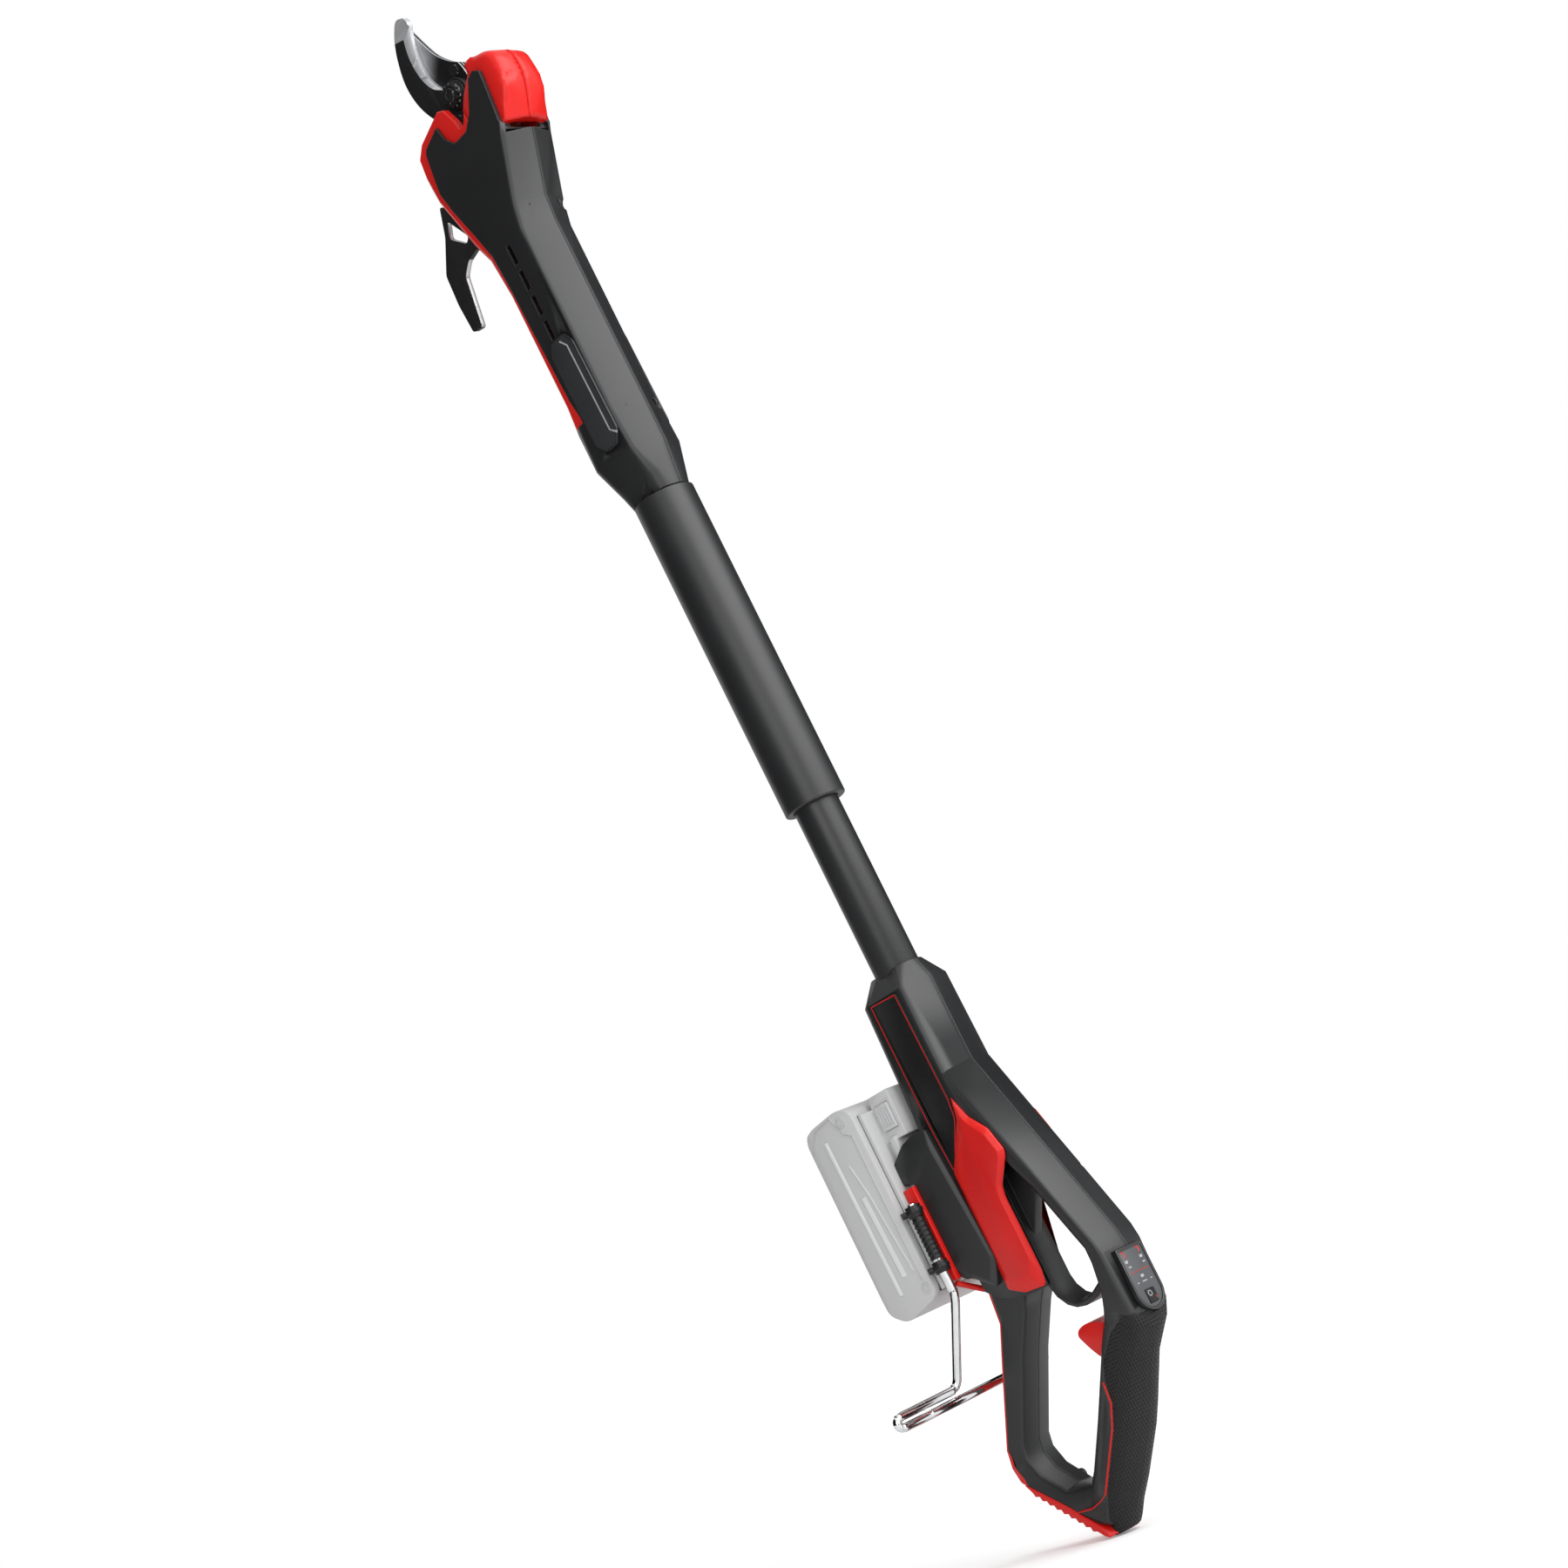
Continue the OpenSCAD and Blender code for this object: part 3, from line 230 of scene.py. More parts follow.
# Colours, grain in metres and roughness of each finish
finishes = {
    "blackShell": {"color": (0.014, 0.0145, 0.0155), "shade": 0.18, "roughness": 0.42, "grain": 0.0007,
                   "depth": 0.00002, "edge": 0.0006, "wear": 0.10, "shine": 0.5},
    "darkTrim": {"color": (0.009, 0.009, 0.0095), "shade": 0.18, "roughness": 0.38, "grain": 0.0006,
                 "depth": 0.00002, "edge": 0.0004, "wear": 0.10, "shine": 0.35},
    "badgeFilm": {"color": (0.03, 0.031, 0.033), "shade": 0.3, "roughness": 0.34, "grain": 0.0012,
                  "depth": 0.00003, "edge": 0.0004, "wear": 0.15, "shine": 0.45},
    "redPlastic": {"color": (0.6, 0.008, 0.005), "shade": 0.12, "roughness": 0.34, "grain": 0.0008,
                   "depth": 0.00002, "edge": 0.0006, "wear": 0.06, "shine": 0.35},
    "redSpeckled": {"color": (0.56, 0.007, 0.005), "shade": 0.2, "roughness": 0.32, "grain": 0.0011,
                    "depth": 0.00014, "edge": 0.0004, "wear": 0.05, "shine": 0.4},
    "tubeCoat": {"color": (0.016, 0.0165, 0.0175), "shade": 0.1, "roughness": 0.36, "grain": 0.0004,
                 "depth": 0.00001, "edge": 0.0003, "wear": 0.05, "shine": 0.42},
    "rubberBlack": {"color": (0.017, 0.017, 0.0175), "shade": 0.2, "roughness": 0.62, "grain": 0.0012,
                    "depth": 0.00004, "edge": 0.0008, "wear": 0.05, "shine": 0.3, "knurl": 0.0026},
    "packPlastic": {"color": (0.5, 0.502, 0.506), "shade": 0.04, "roughness": 0.42, "grain": 0.0006,
                    "depth": 0.00001, "edge": 0.0008, "wear": 0.05, "shine": 0.3},
    "packPale": {"color": (0.66, 0.665, 0.67), "shade": 0.03, "roughness": 0.4, "grain": 0.0006,
                 "depth": 0.00001, "edge": 0.0005, "wear": 0.03, "shine": 0.35},
    "boardGreen": {"color": (0.01, 0.12, 0.05), "shade": 0.2, "roughness": 0.4, "grain": 0.001,
                   "depth": 0.00001, "edge": 0.0003, "wear": 0.02, "shine": 0.4},
    "panelFilm": {"color": (0.075, 0.077, 0.082), "shade": 0.08, "roughness": 0.35, "grain": 0.0005,
                  "depth": 0.00001, "edge": 0.0003, "wear": 0.03, "shine": 0.35},
    # Pale grey for printed marks, and also painted highlights on the nut's notches and the round heads
    "paleMark": {"color": (0.36, 0.36, 0.37), "shade": 0.08, "roughness": 0.4, "grain": 0.0004,
                 "depth": 0.000004, "edge": 0.0002, "wear": 0.02, "shine": 0.3},
    "cellFilm": {"color": (0.1, 0.22, 0.3), "shade": 0.1, "roughness": 0.3, "grain": 0.001,
                 "depth": 0.00001, "edge": 0.0003, "wear": 0.02, "shine": 0.4},
    "leadSleeve": {"color": (0.3, 0.025, 0.02), "shade": 0.1, "roughness": 0.5, "grain": 0.001,
                   "depth": 0.00002, "edge": 0.0003, "wear": 0.02, "shine": 0.3},
}


def mouldedPlastic(name, s):
    material = newMaterial(name)
    surface = material.node_tree.nodes["Principled BSDF"]
    surface.inputs["Specular IOR Level"].default_value = s["shine"]
    place = add(material, "ShaderNodeTexCoord")
    cloud = add(material, "ShaderNodeTexNoise", {"Scale": 22, "Detail": 3})
    grain = add(material, "ShaderNodeTexNoise", {"Scale": 1 / s["grain"], "Detail": 2})
    for texture in (cloud, grain):
        join(material, place, "Object", texture, "Vector")
    color = Vector(s["color"])
    tone = add(material, "ShaderNodeMix", data_type="RGBA")
    tone.inputs[6].default_value = (*(color * (1 - s["shade"])), 1)
    tone.inputs[7].default_value = (*(color * (1 + s["shade"])), 1)
    join(material, cloud, "Fac", tone, 0)
    # Edges rub a little paler, in patches
    soft = add(material, "ShaderNodeBevel", {"Radius": s["edge"]}, samples=4)
    shape = add(material, "ShaderNodeNewGeometry")
    turn = add(material, "ShaderNodeVectorMath", operation="DOT_PRODUCT")
    join(material, soft, "Normal", turn, 0)
    join(material, shape, "Normal", turn, 1)
    edge = add(material, "ShaderNodeMapRange", {"From Min": 0.99, "From Max": 0.8, "To Min": 0,
                                                "To Max": s["wear"] * 2})
    join(material, turn, "Value", edge, "Value")
    patch = add(material, "ShaderNodeMath", operation="MULTIPLY")
    join(material, edge, "Result", patch, 0)
    join(material, grain, "Fac", patch, 1)
    worn = add(material, "ShaderNodeMix", data_type="RGBA")
    worn.inputs[7].default_value = (*(color * 0.5 + Vector((0.3, 0.3, 0.3))), 1)
    join(material, patch, "Value", worn, 0)
    join(material, tone, 2, worn, 6)
    join(material, worn, 2, surface, "Base Color")
    gloss = add(material, "ShaderNodeMapRange", {"To Min": s["roughness"] - 0.05,
                                                 "To Max": s["roughness"] + 0.07})
    join(material, cloud, "Fac", gloss, "Value")
    join(material, gloss, "Result", surface, "Roughness")
    bump = add(material, "ShaderNodeBump", {"Strength": 0.6, "Distance": s["depth"]})
    join(material, grain, "Fac", bump, "Height")
    join(material, soft, "Normal", bump, "Normal")
    if "knurl" in s:
        addKnurl(material, place, bump, s["knurl"])
    else:
        join(material, bump, "Normal", surface, "Normal")
    return material


def addKnurl(material, place, bump, pitch):
    # Small diamonds where two sets of slanted waves cross
    waves = []
    for slant in (0.707, -0.707):
        along = add(material, "ShaderNodeVectorMath", operation="DOT_PRODUCT")
        along.inputs[1].default_value = Vector((0.707, 0.5, slant)) * 2 * math.pi / pitch
        join(material, place, "Object", along, 0)
        wave = add(material, "ShaderNodeMath", operation="SINE")
        join(material, along, "Value", wave, 0)
        waves.append(wave)
    diamonds = add(material, "ShaderNodeMath", operation="MULTIPLY")
    join(material, waves[0], "Value", diamonds, 0)
    join(material, waves[1], "Value", diamonds, 1)
    knurl = add(material, "ShaderNodeBump", {"Strength": 1, "Distance": 0.0006})
    join(material, diamonds, "Value", knurl, "Height")
    join(material, bump, "Normal", knurl, "Normal")
    join(material, knurl, "Normal", material.node_tree.nodes["Principled BSDF"], "Normal")


# Brushing is a noise stretched by these scales along X, Y and Z
metals = {
    "groundSteel": {"metallic": 0.5, "color": (0.5, 0.51, 0.525), "roughness": 0.42, "stretch": (60, 900, 900),
                    "edge": 0.0003},
    "plainSteel": {"color": (0.55, 0.56, 0.58), "roughness": 0.32, "stretch": (500, 500, 500), "edge": 0.0003},
    "coatedSteel": {"color": (0.012, 0.012, 0.0125), "roughness": 0.42, "stretch": (400, 400, 400), "edge": 0.0004},
    "hollowGround": {"metallic": 0.5, "color": (0.44, 0.45, 0.465), "roughness": 0.4, "stretch": (300, 900, 60),
                     "edge": 0.0003, "dark": (0.016, 0.016, 0.017), "from": (-0.0175, 0.534), "to": (-0.0075, 0.524)},
    "blackSteel": {"color": (0.016, 0.016, 0.017), "roughness": 0.4, "stretch": (400, 400, 400), "edge": 0.0004},
    "castAluminium": {"color": (0.5, 0.51, 0.52), "roughness": 0.42, "stretch": (700, 700, 700), "edge": 0.0004},
    "warmBrass": {"color": (0.6, 0.47, 0.2), "roughness": 0.35, "stretch": (500, 500, 500), "edge": 0.0003},
    "copperWinding": {"color": (0.6, 0.27, 0.12), "roughness": 0.35, "stretch": (300, 300, 1600), "edge": 0.0003},
    "mirrorChrome": {"color": (0.78, 0.79, 0.8), "roughness": 0.09, "stretch": (200, 200, 200), "edge": 0.0003},
}


def metal(name, s):
    material = newMaterial(name)
    surface = material.node_tree.nodes["Principled BSDF"]
    surface.inputs["Metallic"].default_value = 0 if max(s["color"]) < 0.1 else s.get("metallic", 1)
    if max(s["color"]) < 0.1:
        surface.inputs["Specular IOR Level"].default_value = 0.35
    place = add(material, "ShaderNodeTexCoord")
    lie = add(material, "ShaderNodeMapping", {"Scale": s["stretch"]})
    join(material, place, "Object", lie, "Vector")
    brushed = add(material, "ShaderNodeTexNoise", {"Scale": 1, "Detail": 3})
    join(material, lie, "Vector", brushed, "Vector")
    color = Vector(s["color"])
    tone = add(material, "ShaderNodeMix", data_type="RGBA")
    tone.inputs[6].default_value = (*(color * 0.82), 1)
    tone.inputs[7].default_value = (*(color * 1.12), 1)
    join(material, brushed, "Fac", tone, 0)
    if "dark" in s:
        # The ground face runs out into the black coat towards the pivot; the smooth fade between them is partly
        # painted shade of the hollow grind
        (x1, z1), (x2, z2) = s["from"], s["to"]
        way = Vector((x2 - x1, 0, z2 - z1))
        reach = add(material, "ShaderNodeVectorMath", operation="DOT_PRODUCT")
        reach.inputs[1].default_value = way / way.length_squared
        join(material, place, "Object", reach, 0)
        start = Vector((x1, 0, z1)).dot(way) / way.length_squared
        fade = add(material, "ShaderNodeMapRange", {"From Min": start, "From Max": start + 1},
                   interpolation_type="SMOOTHSTEP")
        join(material, reach, "Value", fade, "Value")
        coated = add(material, "ShaderNodeMix", data_type="RGBA")
        coated.inputs[7].default_value = (*s["dark"], 1)
        join(material, fade, "Result", coated, 0)
        join(material, tone, 2, coated, 6)
        tone = coated
    join(material, tone, 2, surface, "Base Color")
    gloss = add(material, "ShaderNodeMapRange", {"To Min": s["roughness"] * 0.8,
                                                 "To Max": s["roughness"] * 1.25})
    join(material, brushed, "Fac", gloss, "Value")
    join(material, gloss, "Result", surface, "Roughness")
    soft = add(material, "ShaderNodeBevel", {"Radius": s["edge"]}, samples=4)
    bump = add(material, "ShaderNodeBump", {"Strength": 0.3, "Distance": 0.00001})
    join(material, brushed, "Fac", bump, "Height")
    join(material, soft, "Normal", bump, "Normal")
    join(material, bump, "Normal", surface, "Normal")
    return material


looks = {name: mouldedPlastic(name, s) for name, s in finishes.items()}
looks.update({name: metal(name, s) for name, s in metals.items()})
slotLook = {
    "black_shell": "blackShell", "red_plastic": "redPlastic", "dark_trim": "darkTrim",
    "tube_coat": "tubeCoat", "blade_steel": "groundSteel", "steel": "plainSteel",
    "dark_steel": "blackSteel", "aluminium": "castAluminium", "brass": "warmBrass",
    "copper_wire": "copperWinding", "rubber": "rubberBlack", "chrome": "mirrorChrome",
    "pack_plastic": "packPlastic", "cell_sleeve": "cellFilm", "board": "boardGreen",
    "panel": "panelFilm", "lead_sleeve": "leadSleeve",
}
print("finishes are ready")

slotOf = {part["node"]: part["material_slot"] for part in frame["record"]["subparts"]}
bodyOf = {node: body for body, nodes in frame["record"]["behaviour"]["bodies"].items()
          for node in nodes}

madeAnew = set()  # parts that a piece made here stands for


def keep(bm, name, body, slot, materials=None, replaces=()):
    mesh = bpy.data.meshes.new(name)
    bm.to_mesh(mesh)
    bm.free()
    for material in materials or [slotLook[slot]]:
        mesh.materials.append(looks[material])
    for polygon in mesh.polygons:
        polygon.use_smooth = True
    mesh.set_sharp_from_angle(angle=math.radians(32))
    piece = bpy.data.objects.new(name, mesh)
    scene.collection.objects.link(piece)
    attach(piece, body)
    if replaces:
        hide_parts(*replaces)
        madeAnew.update(replaces)
    return piece


def mergedCopy(node):
    bm = bmesh.new()
    bm.from_mesh(frame["nodes"][node].data)
    bmesh.ops.remove_doubles(bm, verts=bm.verts, dist=2e-6)
    bmesh.ops.dissolve_limit(bm, angle_limit=math.radians(1), verts=bm.verts, edges=bm.edges)
    return bm


def softenEdges(bm, width, sharp=28, segments=2, clamp=True, where=None):
    edges = [e for e in bm.edges if e.is_manifold and e.calc_face_angle(0) > math.radians(sharp)
             and (where is None or where(e))]
    bmesh.ops.bevel(bm, geom=edges, offset=width * mm, offset_type="OFFSET", segments=segments,
                    profile=0.5, affect="EDGES", clamp_overlap=clamp, material=-1)


def softened(node, width=0.4, looksUsed=None, paint=None, segments=2):
    bm = mergedCopy(node)
    softenEdges(bm, width, segments=segments)
    if paint:
        for face in bm.faces:
            face.material_index = paint(face.calc_center_median() / mm, face.normal)
    words = node.split("_")
    name = words[0] + "".join(word.capitalize() for word in words[1:])
    return keep(bm, name, bodyOf[node], slotOf[node], looksUsed, [node])


def rounded(points, radius, steps=4):
    result = []
    for i, point in enumerate(points):
        corner, before = Vector(point), Vector(points[i - 1])
        after = Vector(points[(i + 1) % len(points)])
        back, on = before - corner, after - corner
        start = corner + back.normalized() * min(radius, back.length * 0.42)
        end = corner + on.normalized() * min(radius, on.length * 0.42)
        for k in range(steps + 1):
            t = k / steps
            result.append(start * (1 - t) ** 2 + corner * 2 * t * (1 - t) + end * t * t)
    return result


def evenly(points, count):
    # Points at even steps along a line through the given ones
    points = [Vector(p) for p in points]
    lengths = [(b - a).length for a, b in zip(points, points[1:])]
    result = []
    for i in range(count):
        left = sum(lengths) * i / (count - 1)
        k = 0
        while k < len(lengths) - 1 and left > lengths[k]:
            left -= lengths[k]
            k += 1
        result.append(points[k].lerp(points[k + 1], min(1, left / lengths[k])))
    return result


def smoothLine(points, rounds=3):
    points = [Vector(p) for p in points]
    for _ in range(rounds):
        cut = [points[0]]
        for a, b in zip(points, points[1:]):
            cut += [a.lerp(b, 0.25), a.lerp(b, 0.75)]
        points = cut + [points[-1]]
    return points


def flatSheet(regions, y, lift):
    # Faces in a side plane, each with its own look, that share the corners they have in common
    bm = bmesh.new()
    corners = {}

    def corner(point):
        key = (round(point[0], 3), round(point[1], 3))
        if key not in corners:
            corners[key] = bm.verts.new((point[0] * mm, y * mm, (point[1] + lift) * mm))
        return corners[key]

    for outline, look in regions:
        bm.faces.new([corner(p) for p in outline]).material_index = look
    return bm


def thicken(bm, depth):
    # Grows flat faces along Y into a closed plate
    grown = bmesh.ops.extrude_face_region(bm, geom=bm.faces[:], use_keep_orig=True)["geom"]
    moved = [v for v in grown if isinstance(v, bmesh.types.BMVert)]
    bmesh.ops.translate(bm, vec=(0, depth * mm, 0), verts=moved)
    bmesh.ops.recalc_face_normals(bm, faces=bm.faces)


def outerFaces(bm, direction, margin=0.05):
    # The flat faces furthest out along a direction
    way = Vector(direction)
    reach = max(v.co.dot(way) for v in bm.verts)
    return [f for f in bm.faces
            if f.normal.dot(way) > 0.99 and f.calc_center_median().dot(way) > reach - margin * mm]


def insetSteps(bm, faces, steps):
    # Each step is a width, a depth (+ outwards) and the look of the border it leaves
    for width, depth, look in steps:
        ring = bmesh.ops.inset_region(bm, faces=faces, thickness=width * mm, depth=depth * mm,
                                      use_even_offset=True, use_boundary=True)["faces"]
        for face in ring:
            face.material_index = look


def rod(bm, start, end, radius, segments=32, tip=None):
    start, end = Vector(start) * mm, Vector(end) * mm
    way = end - start
    spin = way.to_track_quat("Z", "Y").to_matrix().to_4x4()
    return bmesh.ops.create_cone(bm, cap_ends=True, segments=segments, radius1=radius * mm,
                                 radius2=(radius if tip is None else tip) * mm, depth=way.length,
                                 matrix=Matrix.Translation((start + end) / 2) @ spin)["verts"]


# Blade outlines are [x, height] in mm; the hook blade's tip takes the last points of its edge
hookBlade = {
    "back": [[-12.4, 321.4], [-18.6, 324.4], [-24.4, 317.6], [-26.7, 313.7]],
    "spine": [[-26.7, 313.7], [-29.6, 307.4], [-33, 295], [-33.2, 284], [-30.6, 272.6], [-25.6, 262.6],
              [-19.4, 254], [-16.6, 247.4], [-13.6, 240.6], [-2, 241], [3, 250], [7.6, 258], [8, 264], [4.4, 270],
              [-2, 272.4], [-9.4, 270.6]],
    "edge": [[-9.4, 270.6], [-14.2, 277.6], [-17.2, 286.4], [-16.7, 300], [-13.6, 312], [-10.4, 317],
             [-12.4, 321.4]],
    "border": [[-9.4, 270.6], [-17, 276.4], [-21.3, 289], [-21.6, 302], [-19, 311.4]],
    "near": -4.5, "far": -0.5, "drop": 1.4, "tipPoints": 14,
}


def makeHookBlade(s):
    edge = smoothLine(s["edge"])
    low, high = edge[:-s["tipPoints"]], edge[-s["tipPoints"] - 1:]
    border = evenly(smoothLine(s["border"]), len(low))
    spine, back = smoothLine(s["spine"]), smoothLine(s["back"])
    coat = spine[:-1] + border
    tip = [border[-1]] + high + back[1:-1] + [spine[0]]
    regions = [(coat, 0), (tip, 1)]
    for i in range(len(low) - 1):
        corners = [border[i], low[i], low[i + 1], border[i + 1]]
        regions.append((corners[1:] if i == 0 else corners, 1))
    bm = flatSheet(regions, s["far"], headLift)
    thicken(bm, s["near"] - s["far"])
    cutting = {(round(p[0], 2), round(p[1], 2)) for p in low[1:]}
    for v in bm.verts:
        place = (round(v.co.x / mm, 2), round(v.co.z / mm - headLift, 2))
        if v.co.y < (s["near"] + 0.1) * mm and place in cutting:
            v.co.y += s["drop"] * mm
    softenEdges(bm, 0.18, sharp=60, segments=1)
    keep(bm, "hookBlade", "tool", "blade_steel", ["coatedSteel", "groundSteel"], ["fixed_blade"])


makeHookBlade(hookBlade)

cuttingBlade = {
    "front": [[-16.2, 315.2], [-21, 306], [-23.4, 296], [-22.4, 285], [-18, 274], [-13.2, 264],
              [-12.4, 256], [-6, 251], [2, 251], [8, 256], [9.4, 264], [8.6, 272.6], [6.6, 278.4]],
    "spine": [[6.6, 278.4], [1.3, 282.4], [-6, 290.9], [-10.6, 300.6], [-16.2, 315.2]],
    "bands": [-0.4, 0.5, 1.9, 3.1],  # depths of the spine's ground and dark bands
}


def makeCuttingBlade(s):
    outline = smoothLine(s["front"])[:-1] + smoothLine(s["spine"])[:-1]
    bm = flatSheet([(outline, 0)], s["bands"][-1], headLift)
    faces = bm.faces[:]
    grown = bmesh.ops.extrude_face_region(bm, geom=faces, use_keep_orig=True)["geom"]
    for low, high in zip(s["bands"][::-1], s["bands"][-2::-1]):
        top = [f for f in grown if isinstance(f, bmesh.types.BMFace)]
        verts = list({v for f in top for v in f.verts})
        bmesh.ops.translate(bm, vec=(0, (high - low) * mm, 0), verts=verts)
        if high != s["bands"][0]:
            grown = bmesh.ops.extrude_face_region(bm, geom=top)["geom"]
    bmesh.ops.recalc_face_normals(bm, faces=bm.faces)
    for face in bm.faces:
        y = face.calc_center_median().y / mm
        if abs(face.normal.y) < 0.5:
            face.material_index = 2 if s["bands"][1] < y < s["bands"][2] else 1
    softenEdges(bm, 0.14, sharp=60, segments=1)
    keep(bm, "cuttingBlade", "blade", "blade_steel", ["hollowGround", "groundSteel", "coatedSteel"],
         ["moving_blade"])


makeCuttingBlade(cuttingBlade)


nutNotches = {"middle": (-2, 262), "radii": (5.6, 8.2), "depths": (-8.9, -6)}


# Notch faces turned to the near side take the pale finish, a painted highlight
def notchPaintedHighlight(place, normal):
    s = nutNotches
    away = math.hypot(place.x - s["middle"][0], place.z - headLift - s["middle"][1])
    inside = s["radii"][0] < away < s["radii"][1] and s["depths"][0] < place.y < s["depths"][1]
    return 1 if inside and normal.y < -0.5 else 0


softened("lock_nut", 0.15, ["coatedSteel", "paleMark"], notchPaintedHighlight)

# Round heads that face the near side: middle, height of the face, radii and depths of their rings; their pale sides
# and rings are painted highlights
roundHeads = {
    "drivePinHead": {"node": "drive_pin", "at": (1.5, 276), "foot": -0.4, "face": -1.3, "radius": 3.4,
                     "rings": [(0.9, 0, 1), (0.3, -0.6, 0), (1.1, 0, 0), (0.2, 0.35, 0)]},
    "keeperScrewHead": {"node": "blade_screw", "at": (-7.4, 248.6), "foot": -4.5, "face": -6.8, "radius": 3.4,
                        "rings": [(0.55, 0, 1), (0.5, -0.5, 0), (1.2, 0, 0), (0.25, -0.5, 0), (0.2, 0, 1)]},
    "pivotBoltHead": {"node": "pivot_bolt", "at": (-2, 262), "foot": -9, "face": -10.1, "radius": 4,
                      "rings": [(0.5, 0, 0), (0.5, -0.3, 1), (0.5, 0, 0), (0.2, -0.9, 1)]},
}


def makeRoundHead(name, s):
    x, z = s["at"][0], s["at"][1] + headLift
    bm = mergedCopy(s["node"])
    shaft = len(bm.faces)
    rod(bm, (x, s["foot"] + 0.2, z), (x, s["face"], z), s["radius"], 48)
    bm.faces.ensure_lookup_table()
    fresh = bm.faces[shaft:]
    top = min(fresh, key=lambda f: f.calc_center_median().y)
    # The head's sides take the pale finish as a painted highlight
    for face in fresh:
        face.material_index = 1
    top.material_index = 0
    insetSteps(bm, [top], s["rings"])
    keep(bm, name, bodyOf[s["node"]], slotOf[s["node"]], ["coatedSteel", "paleMark"], [s["node"]])


for name, s in roundHeads.items():
    makeRoundHead(name, s)
softened("branch_hook", 0.5, ["blackSteel", "plainSteel"],
         lambda place, normal: 1 if normal.x > 0.25 and abs(normal.y) < 0.6 else 0)


headTrim = {
    "strip": {"from": 7.5, "heights": (205, 224)},  # the dark strip under the cap
    "notch": {"x": (-9.5, 7), "y": -11, "heights": (233, 244), "fall": (0.8, 0, -3.2)},
    "rim": 0.55, "shortest": 0.6,
}


def rimEdge(edge):
    # Where the rim's flat side meets a wall
    turned = [abs(face.normal.y) for face in edge.link_faces]
    return max(turned) > 0.9 and min(turned) < 0.5 and edge.calc_length() > headTrim["shortest"] * mm


def makeHeadTrim(s):
    bm = mergedCopy("head_trim")
    notch, strip = s["notch"], s["strip"]
    for v in bm.verts:  # the notch falls away towards the blades
        x, y, z = v.co / mm
        across = notch["x"][0] < x < notch["x"][1] and abs(y - notch["y"]) < 0.3
        if across and notch["heights"][0] < z - headLift < notch["heights"][1]:
            v.co += Vector(notch["fall"]) * mm
    softenEdges(bm, s["rim"], segments=1, clamp=False, where=rimEdge)
    for face in bm.faces:
        place = face.calc_center_median() / mm
        dark = place.x > strip["from"] and strip["heights"][0] < place.z - headLift < strip["heights"][1]
        face.material_index = 1 if dark else 0
    keep(bm, "headTrim", "tool", "red_plastic", ["redPlastic", "darkTrim"], ["head_trim"])


makeHeadTrim(headTrim)


headCaps = {
    "groove": 221.6, "strip": (-8.5, -1),
    "crown": {"from": 255, "scale": 0.58},
    "lean": {"by": 3.8, "x": (28, 8), "z": (248, 14)},  # where it ends and over how many mm it grows
    "core": (18, 0, 232), "longest": 3, "seam": 0.3, "inner": 9.4,
    "rounds": 24, "lowRounds": 10, "low": 223, "high": 242,
    "front": {"at": (14, 245), "slope": 0.85, "top": 265},  # the rim in front stays as it is
    "back": {"from": 222, "rise": 40, "behind": 20, "by": 2.2},
}


def capLook(place, normal):
    # A dark groove runs under the cap, with a paler strip on the near half
    if place.z - headLift > headCaps["groove"]:
        return 0
    low, high = headCaps["strip"]
    return 2 if normal.x > 0.4 and low < place.y < high else 1


def capForm(x, z):
    # Lower crown and a front edge that leans back
    lean, crown = headCaps["lean"], headCaps["crown"]
    share = (max(0, min(1, (lean["x"][0] - x) / lean["x"][1]))
             * max(0, min(1, (z - lean["z"][0]) / lean["z"][1])))
    return x + lean["by"] * share, z if z < crown["from"] else crown["from"] + (z - crown["from"]) * crown["scale"]


def smoothCap(side, s):
    core, front, back = Vector(s["core"]), s["front"], s["back"]
    bm = mergedCopy("head_cap_" + side)
    for v in bm.verts:
        x, z = capForm(v.co.x / mm, v.co.z / mm - headLift)
        v.co.x, v.co.z = x * mm, (z + headLift) * mm
    bmesh.ops.bisect_plane(bm, geom=bm.verts[:] + bm.edges[:] + bm.faces[:], dist=1e-6,
                           plane_co=(0, 0, (s["groove"] + headLift) * mm), plane_no=(0, 0, 1))
    for face in bm.faces:
        face.material_index = capLook(face.calc_center_median() / mm, face.normal)
    bmesh.ops.triangulate(bm, faces=bm.faces)
    for _ in range(3):
        long = [e for e in bm.edges if e.calc_length() > s["longest"] * mm]
        bmesh.ops.subdivide_edges(bm, edges=long, cuts=1, use_grid_fill=True)
        bmesh.ops.triangulate(bm, faces=bm.faces)
    for turn in range(s["rounds"]):
        bm.normal_update()
        low = (s["low"] if turn < s["lowRounds"] else s["high"]) + turn % 6 * 2
        free = []
        for v in bm.verts:
            place = v.co / mm
            place.z -= headLift
            outer = v.normal.dot(place - core) > 0 and abs(place.y) > s["seam"]
            rim = place.z < front["top"] and place.x < front["at"][0] + (place.z - front["at"][1]) * front["slope"]
            if place.z > low and place.x > s["inner"] and outer and not rim:
                free.append(v)
        bmesh.ops.smooth_vert(bm, verts=free, factor=0.5, use_axis_x=True, use_axis_y=True, use_axis_z=True)
    bm.normal_update()
    core.z += headLift
    for v in bm.verts:  # a fuller back, which also makes up for what smoothing took off
        rise = v.co.z / mm - headLift - back["from"]
        outer = min(f.normal.dot(v.co / mm - core) for f in v.link_faces) > 0
        if outer and 0 < rise < back["rise"] and v.co.x > back["behind"] * mm:
            v.co.x += back["by"] * math.sin(math.pi * rise / back["rise"]) * mm
    keep(bm, "headCap" + side.capitalize(), "tool", "red_plastic", ["redPlastic", "darkTrim", "paleMark"],
         ["head_cap_" + side])


for side in sides:
    smoothCap(side, headCaps)


